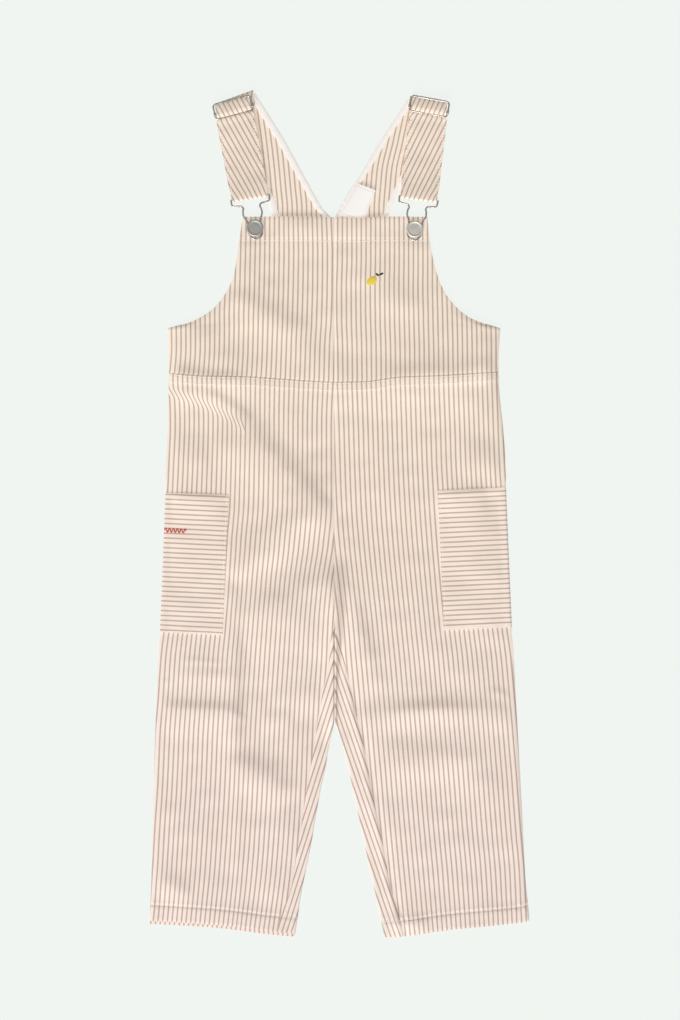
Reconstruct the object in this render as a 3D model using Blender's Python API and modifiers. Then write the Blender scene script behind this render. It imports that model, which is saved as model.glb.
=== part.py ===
"""Child's dungarees in striped cotton twill, laid flat on a surface with the front up.

The garment lies in the XY plane with the shoulder straps towards +Y and rests on z = 0.
"Left" is the side at -X as the garment lies. Every piece of cloth is one open surface with a
wall put on it by Solidify, and the layers lie on each other a small gap apart:
the backs, then the facing tapes, then the fronts, then the patch pockets and the strap ends.
Lengths are in metres. Across the garment they are measured out from the centre seam.
"""

import math
from collections import namedtuple

import bmesh
import bpy
import numpy as np
from mathutils import Matrix, Vector

# Driving dimensions
CLOTH = 0.0010
GAP = 0.0003
LAYER = CLOTH + GAP
BACK_Z = CLOTH / 2
TAPE_Z = BACK_Z + LAYER
FRONT_Z = BACK_Z + 2 * LAYER
POCKET_Z = FRONT_Z + LAYER

CENTRE_X = -0.0050
BIB_TOP_Y = 0.2967
UNDERARM_Y = 0.1857
WAIST_Y = 0.1320
CROTCH_Y = -0.1250
HEM_Y = -0.4080
HALF_SEAM = GAP / 2
WAIST_REACH = 0.0500
HEM_REACH_Y = -0.3300

POCKET_MOUTH_Y = 0.0263
POCKET_FOOT_Y = -0.1190
POCKET_INNER = 0.1040
POCKET_TUCK = 0.0022
POCKET_MARGIN = 0.0180
POCKET_RAMP = 0.0220
TAPE_WIDTH = 0.0065
TAPE_END_Y = 0.2800
STRAP_WIDTH = 0.0380
STRAP_IN_METAL = 0.0350

SLIDER_WIDTH = 0.0386
SLIDER_HEIGHT = 0.0140
SLIDER_WIRE = 0.0011
SLIDER_CORNER = 0.0030
HOOK_WIRE = 0.0009
HOOK_BAR_REACH = 0.0312
BUTTON_RADIUS = 0.0085
BUTTON_SHANK = 0.0032

HOOK_Z = FRONT_Z + CLOTH / 2 + GAP + HOOK_WIRE
STRAP_TOP_Z = HOOK_Z + HOOK_WIRE + GAP + CLOTH / 2
SLIDER_Z = STRAP_TOP_Z
UNDER_SLIDER_Z = SLIDER_Z - SLIDER_WIRE - GAP - CLOTH / 2

# How finely the cloth is divided
FRONT_COLUMNS = 10
LEG_FLAT_COLUMNS = 8
LEG_TURN_COLUMNS = 5
LEG_WRAP_COLUMNS = 3
LEG_COLUMNS = LEG_FLAT_COLUMNS + LEG_TURN_COLUMNS + LEG_WRAP_COLUMNS
LEG_ROWS_ABOVE_CROTCH = 12
LEG_ROWS_BELOW_CROTCH = 16
LEG_ROWS = LEG_ROWS_ABOVE_CROTCH + LEG_ROWS_BELOW_CROTCH
CROTCH_ROW = LEG_ROWS_ABOVE_CROTCH / LEG_ROWS
POCKET_RUN_COLUMNS = 4
POCKET_TURN_COLUMNS = 6
POCKET_COLUMNS = 2 * POCKET_RUN_COLUMNS + POCKET_TURN_COLUMNS
POCKET_ROWS = 7
TAPE_ROWS = 14

Side = namedtuple("Side", "name sign")
LEFT = Side("left", -1.0)
RIGHT = Side("right", 1.0)
SIDES = (LEFT, RIGHT)

# Outlines: height, then the distance from the centre seam on the left and on the right.
Row = namedtuple("Row", "y left right")
SIDE_SEAM = (
    Row(-0.4232, 0.1852, 0.1952),
    Row(-0.4066, 0.1844, 0.1946),
    Row(-0.3635, 0.1825, 0.1907),
    Row(-0.2840, 0.1806, 0.1867),
    Row(-0.1860, 0.1776, 0.1813),
    Row(-0.1160, 0.1743, 0.1777),
    Row(0.0228, 0.1690, 0.1718),
    Row(0.0593, 0.1678, 0.1704),
    Row(0.0877, 0.1662, 0.1682),
    Row(0.1407, 0.1652, 0.1638),
    Row(UNDERARM_Y, 0.1664, 0.1655),
)
ARMHOLE = (
    Row(UNDERARM_Y, 0.1664, 0.1655),
    Row(0.1890, 0.1500, 0.1520),
    Row(0.1956, 0.1343, 0.1355),
    Row(0.2065, 0.1190, 0.1216),
    Row(0.2216, 0.1077, 0.1100),
    Row(0.2394, 0.1000, 0.1025),
    Row(0.2649, 0.0962, 0.0965),
    Row(BIB_TOP_Y, 0.0914, 0.0927),
)
INNER_FOLD = (
    Row(-0.4232, 0.0398, 0.0503),
    Row(-0.3750, 0.0324, 0.0402),
    Row(-0.3360, 0.0244, 0.0316),
    Row(-0.2840, 0.0155, 0.0206),
    Row(-0.2530, 0.0090, 0.0139),
    Row(-0.2300, 0.0051, 0.0084),
    Row(-0.2030, 0.0002, 0.0006),
    Row(CROTCH_Y, 0.0002, 0.0002),
)
INSEAM = (
    Row(-0.4232, 0.0590, 0.0700),
    Row(-0.4040, 0.0542, 0.0650),
    Row(-0.3710, 0.0427, 0.0560),
    Row(-0.3280, 0.0358, 0.0482),
    Row(-0.2735, 0.0271, 0.0370),
    Row(-0.2320, 0.0202, 0.0294),
    Row(-0.2010, 0.0158, 0.0220),
    Row(-0.1670, 0.0093, 0.0149),
    Row(-0.1410, 0.0046, 0.0087),
    Row(CROTCH_Y, 0.0036, 0.0042),
    Row(-0.1120, HALF_SEAM, HALF_SEAM),
    Row(WAIST_Y, HALF_SEAM, HALF_SEAM),
)
POCKET_EDGE = (
    Row(-0.1250, 0.1118, 0.1108),
    Row(0.0300, 0.1050, 0.1040),
)

# Seams that run across: distance from the centre seam, then the height on each side.
Across = namedtuple("Across", "out left right")
WAIST_SEAM = (
    Across(0.0000, 0.1317, 0.1317),
    Across(0.0300, 0.1332, 0.1323),
    Across(0.0660, 0.1358, 0.1368),
    Across(0.0900, 0.1372, 0.1376),
    Across(0.1300, 0.1379, 0.1397),
    Across(0.1650, 0.1407, 0.1421),
)
HEM_FRONT = (
    Across(0.0390, -0.4192, -0.4236),
    Across(0.0620, -0.4172, -0.4222),
    Across(0.1170, -0.4105, -0.4150),
    Across(0.1850, -0.4066, -0.4085),
    Across(0.1950, -0.4064, -0.4064),
)
HEM_BACK_DROP = {"left": 0.0035, "right": 0.0}
POCKET_TOP = (Across(0.1050, 0.0188, 0.0231), Across(0.1720, 0.0207, 0.0263))
POCKET_BOTTOM = (Across(0.1110, -0.1190, -0.1164), Across(0.1760, -0.1163, -0.1131))

# The back, from its strap end down to the waist: the neck edge and the arm edge of each row.
BackRow = namedtuple("BackRow", "neck_out neck_y arm_out arm_y")
STRAP_ROWS = {
    "left": (
        BackRow(0.0794, 0.4203, 0.1140, 0.4078),
        BackRow(0.0503, 0.3740, 0.0930, 0.3665),
        BackRow(0.0296, 0.3360, 0.0755, 0.3345),
        BackRow(0.0124, 0.3050, 0.0648, 0.3090),
        BackRow(0.0034, 0.2960, 0.0619, 0.2967),
    ),
    "right": (
        BackRow(0.0740, 0.4145, 0.1090, 0.4030),
        BackRow(0.0500, 0.3786, 0.0900, 0.3700),
        BackRow(0.0259, 0.3384, 0.0715, 0.3370),
        BackRow(0.0080, 0.3110, 0.0592, 0.3110),
        BackRow(0.0008, 0.2960, 0.0534, 0.2967),
    ),
}
BODICE_ROWS = (
    BackRow(HALF_SEAM, 0.2880, 0.0600, 0.2800),
    BackRow(HALF_SEAM, 0.2640, 0.0640, 0.2600),
    BackRow(HALF_SEAM, 0.2400, 0.0720, 0.2400),
    BackRow(HALF_SEAM, 0.2216, 0.0850, 0.2216),
    BackRow(HALF_SEAM, 0.2065, 0.1050, 0.2065),
    BackRow(HALF_SEAM, 0.1956, 0.1260, 0.1956),
    BackRow(HALF_SEAM, 0.1890, 0.1480, 0.1890),
    BackRow(HALF_SEAM, 0.1820, 0.1640, 0.1850),
    BackRow(HALF_SEAM, 0.1600, 0.1640, 0.1630),
    BackRow(HALF_SEAM, WAIST_Y, 0.1640, 0.1410),
)

# Where the metal lies: each button, how far its hook leans, and each slider.
Metal = namedtuple("Metal", "button_x button_y hook_lean slider_x slider_y slider_lean fold_lean")
METAL = {
    "left": Metal(-0.0842, 0.2850, 9.3, -0.1060, 0.4053, 14.6, 19.7),
    "right": Metal(0.0752, 0.2839, -7.4, 0.0897, 0.4064, -10.1, -17.0),
}
# The strap's turn at the shoulder: its inner end, beside the neck.
SHOULDER = {"left": (-0.0863, 0.4234), "right": (0.0708, 0.4176)}
SHOULDER_TURN = LAYER
SHOULDER_REACH = SHOULDER_TURN + CLOTH / 2

# Half of the hook's wire, from under the button up to the bar in the strap's loop.
HookPoint = namedtuple("HookPoint", "x y")
HOOK_HALF = (
    HookPoint(0.0000, -0.0106),
    HookPoint(0.0030, -0.0100),
    HookPoint(0.0056, -0.0076),
    HookPoint(0.0068, -0.0030),
    HookPoint(0.0062, 0.0050),
    HookPoint(0.0078, 0.0100),
    HookPoint(0.0094, 0.0140),
    HookPoint(0.0092, 0.0185),
    HookPoint(0.0084, 0.0212),
    HookPoint(0.0098, 0.0236),
    HookPoint(0.0130, 0.0242),
    HookPoint(0.0178, 0.0250),
    HookPoint(0.0191, 0.0268),
    HookPoint(0.0191, 0.0296),
    HookPoint(0.0178, HOOK_BAR_REACH),
    HookPoint(0.0000, HOOK_BAR_REACH),
)

# The largest soft ridges in the fronts: two ends, the half width and the height.
Ridge = namedtuple("Ridge", "x0 y0 x1 y1 half_width height")
RIDGES = (
    Ridge(-0.060, 0.100, 0.004, 0.046, 0.013, 0.0045),
    Ridge(-0.092, 0.050, -0.034, 0.004, 0.012, 0.0040),
    Ridge(-0.088, -0.064, -0.014, -0.008, 0.012, 0.0042),
    Ridge(-0.146, 0.112, -0.104, 0.086, 0.011, 0.0030),
    Ridge(-0.070, 0.238, -0.026, 0.222, 0.014, 0.0032),
    Ridge(-0.066, 0.184, -0.024, 0.166, 0.014, 0.0030),
    Ridge(0.052, 0.176, 0.126, 0.172, 0.012, 0.0030),
    Ridge(0.040, 0.106, 0.130, 0.110, 0.014, 0.0030),
    Ridge(0.058, -0.211, 0.150, -0.214, 0.012, 0.0038),
    Ridge(-0.156, -0.164, -0.110, -0.166, 0.011, 0.0030),
    Ridge(-0.090, -0.288, -0.052, -0.284, 0.014, 0.0036),
    Ridge(0.070, -0.282, 0.120, -0.270, 0.016, 0.0028),
)


def finish(name, colour, roughness, metallic=0.0):
    """A Principled material of one colour."""
    material = bpy.data.materials.new(name)
    material.use_nodes = True
    shader = material.node_tree.nodes["Principled BSDF"]
    shader.inputs["Base Color"].default_value = (*colour, 1.0)
    shader.inputs["Roughness"].default_value = roughness
    shader.inputs["Metallic"].default_value = metallic
    material.diffuse_color = (*colour, 1.0)
    return material


def smooth_curve(stations, values, at):
    """A cubic through the values that never swings past them."""
    x = np.array(stations, float)
    v = np.array(values, float)
    step = np.diff(x)
    slope = np.diff(v) / step
    product = slope[:-1] * slope[1:]
    total = np.where(product > 0, slope[:-1] + slope[1:], 1.0)
    bend = np.where(product > 0, 2 * product / total, 0.0)
    tangent = np.concatenate([slope[:1], bend, slope[-1:]])
    i = np.clip(np.searchsorted(x, at, side="right") - 1, 0, len(step) - 1)
    t = np.clip((at - x[i]) / step[i], 0.0, 1.0)
    start = v[i] * (1 + 2 * t) * (1 - t) ** 2 + v[i + 1] * t * t * (3 - 2 * t)
    return start + step[i] * (tangent[i] * t * (1 - t) ** 2 - tangent[i + 1] * t * t * (1 - t))


def read_table(table, side, at):
    """The value of a table's left or right column where its first column is `at`."""
    return smooth_curve([row[0] for row in table], [getattr(row, side.name) for row in table], at)


def fade(value, start, end):
    """0 before start, 1 past end, smooth between them."""
    t = np.clip((value - start) / (end - start), 0.0, 1.0)
    return t * t * (3 - 2 * t)


def level_with_pocket(y):
    """1 at the height of the pockets, 0 well above and below them."""
    foot = POCKET_FOOT_Y - POCKET_MARGIN
    mouth = POCKET_MOUTH_Y + POCKET_MARGIN
    return fade(y, foot - POCKET_RAMP, foot) * (1 - fade(y, mouth, mouth + POCKET_RAMP))


def by_pocket(out, y):
    """1 where a leg lies over or under a pocket, 0 well away from it."""
    inner = POCKET_INNER - POCKET_MARGIN
    return fade(out, inner - POCKET_RAMP, inner) * level_with_pocket(y)


def relief(x, y):
    """Height that the soft ridges add to the front layer, none under the pockets."""
    height = np.zeros_like(x)
    for ridge in RIDGES:
        along_x = ridge.x1 - ridge.x0
        along_y = ridge.y1 - ridge.y0
        length_squared = along_x**2 + along_y**2
        t = ((x - ridge.x0) * along_x + (y - ridge.y0) * along_y) / length_squared
        t = np.clip(t, 0.0, 1.0)
        off_x = x - ridge.x0 - t * along_x
        off_y = y - ridge.y0 - t * along_y
        height += ridge.height * np.exp(-(off_x**2 + off_y**2) / (2 * ridge.half_width**2))
    return height * (1 - by_pocket(np.abs(x - CENTRE_X), y))


def tuck(y):
    """How far the side seam lies inside the outline, where the pocket wraps round it."""
    return POCKET_TUCK * level_with_pocket(y)


def put_in(scene_object, collection, material):
    scene_object.data.materials.append(material)
    collection.objects.link(scene_object)
    return scene_object


def sheet(name, place, columns, rows, collection, material, leave_out=None):
    """A grid of columns x rows, each point moved to place(u, v), with a cloth wall on it."""
    mesh = bmesh.new()
    bmesh.ops.create_grid(mesh, x_segments=columns, y_segments=rows, size=0.5)
    if leave_out is not None:
        centres = [(face, face.calc_center_median() + Vector((0.5, 0.5, 0.0))) for face in mesh.faces]
        unused = [face for face, centre in centres if leave_out(centre.x, centre.y)]
        bmesh.ops.delete(mesh, geom=unused, context="FACES")
    u = np.array([vertex.co.x for vertex in mesh.verts]) + 0.5
    v = np.array([vertex.co.y for vertex in mesh.verts]) + 0.5
    for vertex, point in zip(mesh.verts, place(u, v)):
        vertex.co = point
    data = bpy.data.meshes.new(name)
    mesh.to_mesh(data)
    mesh.free()
    data.shade_smooth()
    cloth = put_in(bpy.data.objects.new(name, data), collection, material)
    wall = cloth.modifiers.new("cloth wall", "SOLIDIFY")
    wall.thickness = CLOTH
    wall.offset = 0.0
    wall.use_even_offset = True
    return cloth


def at_side(side, out, y, z):
    """World points from distances out from the centre seam."""
    return np.stack([CENTRE_X + side.sign * out, y, z + 0 * out], axis=1)


def waist_shift(side, out, level):
    """How far a level line near the waist is moved to follow the waist seam."""
    seam = read_table(WAIST_SEAM, side, out) - WAIST_Y
    return seam * (1 - fade(np.abs(level - WAIST_Y), 0.0, WAIST_REACH))


def bib(side):
    """Half of the bib: armhole stations from the top down, then down to the waist seam."""
    levels = [row.y for row in reversed(ARMHOLE)] + [0.1700, 0.1550, 0.1430, WAIST_Y]
    levels = np.array(levels[:1] + [0.2810] + levels[1:])
    steps = np.linspace(0.0, 1.0, len(levels))

    def place(u, v):
        level = np.interp(v, steps, levels)
        low = level < UNDERARM_Y
        edge = np.where(
            low, read_table(SIDE_SEAM, side, level), read_table(ARMHOLE, side, level)
        )
        out = HALF_SEAM + (edge - HALF_SEAM) * u
        y = level + waist_shift(side, out, level) + HALF_SEAM * (v > 0.999)
        x = CENTRE_X + side.sign * out
        return at_side(side, out, y, FRONT_Z + relief(x, y))

    return place, len(levels) - 1


def leg_height(side, out, level):
    """The height of a level line, bent to the waist seam at its top and to the hem at its foot."""
    hem = read_table(HEM_FRONT, side, out) - HEM_Y
    return level + waist_shift(side, out, level) + hem * fade(-level, -HEM_REACH_Y, -HEM_Y)


def leg_level(v):
    """The level line that a row of a leg follows, with one row exactly at the crotch."""
    return np.interp(v, [0.0, CROTCH_ROW, 1.0], [WAIST_Y, CROTCH_Y, HEM_Y])


def leg_front(side):
    """Front of one leg, from the centre seam and the inseam out to the side seam."""

    def place(u, v):
        level = leg_level(v)
        inner = read_table(INSEAM, side, level)
        outer = read_table(SIDE_SEAM, side, level) - tuck(level)
        y = leg_height(side, inner + (outer - inner) * u, level) - HALF_SEAM * (v < 0.001)
        inner = read_table(INSEAM, side, y)
        outer = read_table(SIDE_SEAM, side, y) - tuck(y)
        out = inner + (outer - inner) * u
        x = CENTRE_X + side.sign * out
        return at_side(side, out, y, FRONT_Z + relief(x, y))

    return place


LEG_TURN = (FRONT_Z - BACK_Z) / 2


def leg_back(side):
    """Back of one leg. Below the crotch it turns round the inner leg and up to the inseam."""
    flat_end = LEG_FLAT_COLUMNS / LEG_COLUMNS
    turn_end = (LEG_FLAT_COLUMNS + LEG_TURN_COLUMNS) / LEG_COLUMNS

    def place(u, v):
        level = leg_level(v)
        below = v > CROTCH_ROW - 0.001
        flat = np.clip(u / flat_end, 0.0, 1.0)
        turn = np.clip((u - flat_end) / (turn_end - flat_end), 0.0, 1.0)
        wrap = np.clip((u - turn_end) / (1 - turn_end), 0.0, 1.0)

        def distance(y):
            side_edge = read_table(SIDE_SEAM, side, y) - tuck(y)
            fold = read_table(INNER_FOLD, side, y) + LEG_TURN + CLOTH / 2
            centre = np.where(below, fold, HALF_SEAM)
            inseam = read_table(INSEAM, side, y) - GAP
            along = side_edge + (centre - side_edge) * flat
            along = along - LEG_TURN * np.sin(np.pi * turn) * (turn > 0)
            return along + (inseam - fold) * wrap

        drop = HEM_BACK_DROP[side.name] * fade(-level, -HEM_REACH_Y, -HEM_Y) * (1 - turn)
        y = leg_height(side, distance(level), level) - drop - HALF_SEAM * (v < 0.001)
        out = distance(y)
        x = CENTRE_X + side.sign * out
        flat_z = BACK_Z + LAYER * by_pocket(out, y)
        turned_z = BACK_Z + LEG_TURN * (1 - np.cos(np.pi * turn)) + relief(x, y) * wrap
        return at_side(side, out, y, np.where(turn > 0, turned_z, flat_z))

    def leave_out(u, v):
        return u > flat_end and v < CROTCH_ROW

    return place, leave_out


POCKET_TURN = (POCKET_Z - BACK_Z) / 2


def pocket(side):
    """A patch that starts on the back of the leg, turns round the side seam and ends in front."""
    run = POCKET_RUN_COLUMNS / POCKET_COLUMNS

    def place(u, v):
        back = np.clip(1 - u / run, 0.0, 1.0)
        front = np.clip((u - 1 + run) / run, 0.0, 1.0)
        turn = np.clip((u - run) / (1 - 2 * run), 0.0, 1.0)
        inward = np.maximum(back, front)
        top = read_table(POCKET_TOP, side, 0.172 - 0.067 * inward)
        bottom = read_table(POCKET_BOTTOM, side, 0.176 - 0.065 * inward)
        y = top + (bottom - top) * v
        edge = read_table(SIDE_SEAM, side, y) - POCKET_TURN - CLOTH / 2
        inner = read_table(POCKET_EDGE, side, y)
        out = edge + (inner - edge) * inward + POCKET_TURN * np.sin(np.pi * turn)
        z = BACK_Z + POCKET_TURN * (1 - np.cos(np.pi * turn))
        return at_side(side, out, y, z)

    return place


def back_rows(side):
    return np.array(STRAP_ROWS[side.name] + BODICE_ROWS, float)


def back(side):
    """Half of the back with its shoulder strap, cut in one, from the strap's end to the waist."""
    rows = back_rows(side)
    steps = np.linspace(0.0, 1.0, len(rows))

    def place(u, v):
        neck_out, neck_y, arm_out, arm_y = (np.interp(v, steps, column) for column in rows.T)
        out = neck_out + (arm_out - neck_out) * u
        y = neck_y + (arm_y - neck_y) * u
        seam = read_table(WAIST_SEAM, side, out)
        y = y + (seam + HALF_SEAM - y) * (v > 0.999)
        return at_side(side, out, y, BACK_Z)

    return place, len(rows) - 1


def facing_tape(side, at_neck):
    """A tape on the inside of the back along one edge, made from the back's own points."""
    rows = back_rows(side)
    place_back, _ = back(side)
    steps = np.linspace(0.0, 1.0, len(rows))
    edge_y = rows[:, 1] if at_neck else rows[:, 3]
    end = np.interp(-TAPE_END_Y, -edge_y, steps)

    def place(u, v):
        v = v * end
        neck_out, neck_y, arm_out, arm_y = (np.interp(v, steps, column) for column in rows.T)
        width = TAPE_WIDTH / np.hypot(arm_out - neck_out, arm_y - neck_y)
        across = width * u if at_neck else 1 - width * u
        return place_back(across, v) + np.array([0.0, 0.0, LAYER])

    return place


def neck_label():
    """The blank woven label beside the facing tape of the right strap."""
    place_back, _ = back(RIGHT)
    corners = np.array([(0.0228, 0.3290), (0.0380, 0.3222), (0.0170, 0.2905), (0.0040, 0.2950)])

    def place(u, v):
        u = u[:, None]
        v = v[:, None]
        top = corners[0] * (1 - u) + corners[1] * u
        foot = corners[3] * (1 - u) + corners[2] * u
        flat = top * (1 - v) + foot * v
        return np.column_stack([flat, np.full(len(flat), TAPE_Z)])

    return place


def leaning(degrees):
    """Unit vectors across and along a piece turned by this angle."""
    angle = math.radians(degrees)
    return np.array([math.cos(angle), math.sin(angle)]), np.array([-math.sin(angle), math.cos(angle)])


def metal_lines(side):
    """Centre, across and along vectors of the shoulder turn, the slider bar and the hook bar."""
    metal = METAL[side.name]
    fold_across, fold_along = leaning(metal.fold_lean)
    slider_across, slider_along = leaning(metal.slider_lean)
    hook_across, hook_along = leaning(metal.hook_lean)
    inner_end = np.array(SHOULDER[side.name])
    fold = inner_end + side.sign * fold_across * STRAP_WIDTH / 2 - fold_along * SHOULDER_REACH
    slider = np.array([metal.slider_x, metal.slider_y])
    hook = np.array([metal.button_x, metal.button_y]) + hook_along * HOOK_BAR_REACH
    return {
        "shoulder": (fold, fold_across, fold_along),
        "slider": (slider, slider_across, slider_along),
        "hook": (hook, hook_across, hook_along),
    }


def strap_front_rows(side):
    """Rows of the strap end, as (left end, right end, height).

    From the shoulder turn it runs down under the slider to the hook, turns round the hook's bar,
    comes back up on top, dips under the slider's lower wire and turns over its middle bar.
    """
    lines = metal_lines(side)
    rows = []

    def add(centre, across, width, z):
        rows.append((*(centre - across * width / 2), *(centre + across * width / 2), z))

    def add_turn(name, width, radius, z, first, last, steps):
        centre, across, along = lines[name]
        for angle in np.linspace(first, last, steps):
            offset = radius * math.sin(angle)
            add(centre + along * offset, across, width, z - radius * math.cos(angle))

    def add_between(first, last, part, width, z):
        centre = lines[first][0] * (1 - part) + lines[last][0] * part
        across = lines[first][1] * (1 - part) + lines[last][1] * part
        add(centre, across / np.linalg.norm(across), width, z)

    add_turn("shoulder", STRAP_WIDTH, SHOULDER_TURN, TAPE_Z, 0.0, math.pi, 6)
    for part in (0.3, 0.6, 0.85):
        add_between("shoulder", "hook", part, STRAP_WIDTH, FRONT_Z)
    hook_turn = STRAP_TOP_Z - HOOK_Z
    add_turn("hook", STRAP_IN_METAL, hook_turn, HOOK_Z, 0.0, -math.pi, 8)
    for part in (0.15, 0.4, 0.65, 0.80):
        add_between("hook", "slider", part, STRAP_WIDTH, STRAP_TOP_Z)
    add_between("hook", "slider", 0.885, STRAP_IN_METAL + 0.001, UNDER_SLIDER_Z)
    add_between("hook", "slider", 0.93, STRAP_IN_METAL, UNDER_SLIDER_Z)
    bar_turn = SLIDER_Z - UNDER_SLIDER_Z
    add_turn("slider", STRAP_IN_METAL, bar_turn, SLIDER_Z, -0.72 * math.pi, -2.0 * math.pi, 11)
    return np.array(rows)


def strap_front(side):
    rows = strap_front_rows(side)
    steps = np.linspace(0.0, 1.0, len(rows))

    def place(u, v):
        x0, y0, x1, y1, z = (np.interp(v, steps, column) for column in rows.T)
        return np.stack([x0 + (x1 - x0) * u, y0 + (y1 - y0) * u, z], axis=1)

    return place, len(rows) - 1


def wire(name, points, radius, closed, collection, material):
    """A round wire through the points."""
    data = bpy.data.curves.new(name, "CURVE")
    data.dimensions = "3D"
    data.bevel_depth = radius
    data.bevel_resolution = 2
    data.use_fill_caps = True
    spline = data.splines.new("POLY")
    spline.points.add(len(points) - 1)
    for slot, point in zip(spline.points, points):
        slot.co = (*point, 1.0)
    spline.use_cyclic_u = closed
    return put_in(bpy.data.objects.new(name, data), collection, material)


def to_mesh_object(curve, collection, material):
    """The same shape as a welded mesh, in place of the curve."""
    graph = bpy.context.evaluated_depsgraph_get()
    data = bpy.data.meshes.new_from_object(curve.evaluated_get(graph))
    welded = bmesh.new()
    welded.from_mesh(data)
    bmesh.ops.remove_doubles(welded, verts=welded.verts, dist=0.00001)
    bmesh.ops.recalc_face_normals(welded, faces=welded.faces)
    welded.to_mesh(data)
    welded.free()
    data.materials.clear()
    name = curve.name
    matrix = curve.matrix_world.copy()
    bpy.data.objects.remove(curve)
    solid = put_in(bpy.data.objects.new(name, data), collection, material)
    solid.matrix_world = matrix
    return solid


def rounded_rectangle(width, height, radius, corner_steps):
    """Points round a rectangle with round corners, centred on the origin."""
    points = []
    for turn, (x, y) in enumerate(((1, 1), (-1, 1), (-1, -1), (1, -1))):
        centre = Vector((x * (width / 2 - radius), y * (height / 2 - radius), 0.0))
        for step in range(corner_steps + 1):
            angle = math.pi / 2 * (turn + step / corner_steps)
            points.append(centre + Vector((math.cos(angle), math.sin(angle), 0.0)) * radius)
    return points


def slider(side, collection, cutters, material):
    """A wire frame with a bar across its middle."""
    metal = METAL[side.name]
    outline = rounded_rectangle(SLIDER_WIDTH, SLIDER_HEIGHT, SLIDER_CORNER, 4)
    frame = wire("slider_" + side.name, outline, SLIDER_WIRE, True, collection, material)
    frame = to_mesh_object(frame, collection, material)
    half = SLIDER_WIDTH / 2 - SLIDER_WIRE / 3
    ends = [Vector((-half, 0.0, 0.0)), Vector((half, 0.0, 0.0))]
    bar = wire("bar_" + side.name, ends, SLIDER_WIRE * 0.93, False, cutters, material)
    bar = to_mesh_object(bar, cutters, material)
    bar.hide_render = True
    bar.display_type = "WIRE"
    place = Matrix.Translation((metal.slider_x, metal.slider_y, SLIDER_Z))
    place = place @ Matrix.Rotation(math.radians(metal.slider_lean), 4, "Z")
    frame.matrix_world = place
    bar.matrix_world = place
    join = frame.modifiers.new("middle bar", "BOOLEAN")
    join.operation = "UNION"
    join.object = bar


def hook(side, collection, material):
    """A bent wire: a bar in the strap's loop, two shoulders, and a keyhole round the button."""
    metal = METAL[side.name]
    right = [Vector((point.x, point.y, 0.0)) for point in HOOK_HALF]
    left = [Vector((-point.x, point.y, 0.0)) for point in HOOK_HALF[-2:0:-1]]
    bent = wire("hook_" + side.name, right + left, HOOK_WIRE, True, collection, material)
    bent.location = (metal.button_x, metal.button_y, HOOK_Z)
    bent.rotation_euler.z = math.radians(metal.hook_lean)


def button(side, collection, material):
    """A turned tack button: a domed cap with a rolled rim on a short shank."""
    metal = METAL[side.name]
    foot = FRONT_Z + CLOTH / 2 + GAP
    under_cap = HOOK_Z + HOOK_WIRE + GAP
    outline = (
        (0.0, under_cap + 0.0016),
        (BUTTON_RADIUS * 0.60, under_cap + 0.0016),
        (BUTTON_RADIUS * 0.78, under_cap + 0.0021),
        (BUTTON_RADIUS * 0.90, under_cap + 0.0020),
        (BUTTON_RADIUS, under_cap + 0.0011),
        (BUTTON_RADIUS * 0.96, under_cap + 0.0002),
        (BUTTON_RADIUS * 0.85, under_cap),
        (BUTTON_SHANK, under_cap),
        (BUTTON_SHANK, foot),
        (0.0, foot),
    )
    name = "button_" + side.name
    data = bpy.data.meshes.new(name)
    profile = bmesh.new()
    ring = [profile.verts.new((x, 0.0, z)) for x, z in outline]
    for start, end in zip(ring, ring[1:]):
        profile.edges.new((start, end))
    profile.to_mesh(data)
    profile.free()
    turned = put_in(bpy.data.objects.new(name, data), collection, material)
    turned.location = (metal.button_x, metal.button_y, 0.0)
    screw = turned.modifiers.new("turned", "SCREW")
    screw.steps = 24
    screw.render_steps = 24
    screw.use_merge_vertices = True
    screw.merge_threshold = 0.0001
    screw.use_smooth_shade = True


def build():
    for old in list(bpy.data.objects):
        bpy.data.objects.remove(old)
    dungarees = bpy.data.collections.new("dungarees")
    cutters = bpy.data.collections.new("cutters")
    for collection in (dungarees, cutters):
        bpy.context.scene.collection.children.link(collection)

    twill = finish("striped twill", (0.76, 0.65, 0.55), 0.85)
    tape = finish("white tape", (0.88, 0.87, 0.85), 0.80)
    satin = finish("label satin", (0.90, 0.90, 0.90), 0.60)
    plated = finish("plated wire", (0.50, 0.50, 0.51), 0.35, 1.0)
    pewter = finish("button metal", (0.35, 0.36, 0.37), 0.45, 1.0)

    for side in SIDES:
        place, rows = bib(side)
        sheet("bib_" + side.name, place, FRONT_COLUMNS, rows, dungarees, twill)
        place, rows = back(side)
        sheet("back_" + side.name, place, LEG_FLAT_COLUMNS, rows, dungarees, twill)
        sheet("leg_front_" + side.name, leg_front(side), FRONT_COLUMNS, LEG_ROWS, dungarees, twill)
        place, leave_out = leg_back(side)
        sheet("leg_back_" + side.name, place, LEG_COLUMNS, LEG_ROWS, dungarees, twill, leave_out)
        sheet("pocket_" + side.name, pocket(side), POCKET_COLUMNS, POCKET_ROWS, dungarees, twill)
        sheet("neck_tape_" + side.name, facing_tape(side, True), 1, TAPE_ROWS, dungarees, tape)
        sheet("arm_tape_" + side.name, facing_tape(side, False), 1, TAPE_ROWS, dungarees, tape)
        place, rows = strap_front(side)
        sheet("strap_front_" + side.name, place, 2, rows, dungarees, twill)
        slider(side, dungarees, cutters, plated)
        hook(side, dungarees, plated)
        button(side, dungarees, pewter)
    sheet("neck_label", neck_label(), 1, 2, dungarees, satin)


build()
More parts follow.
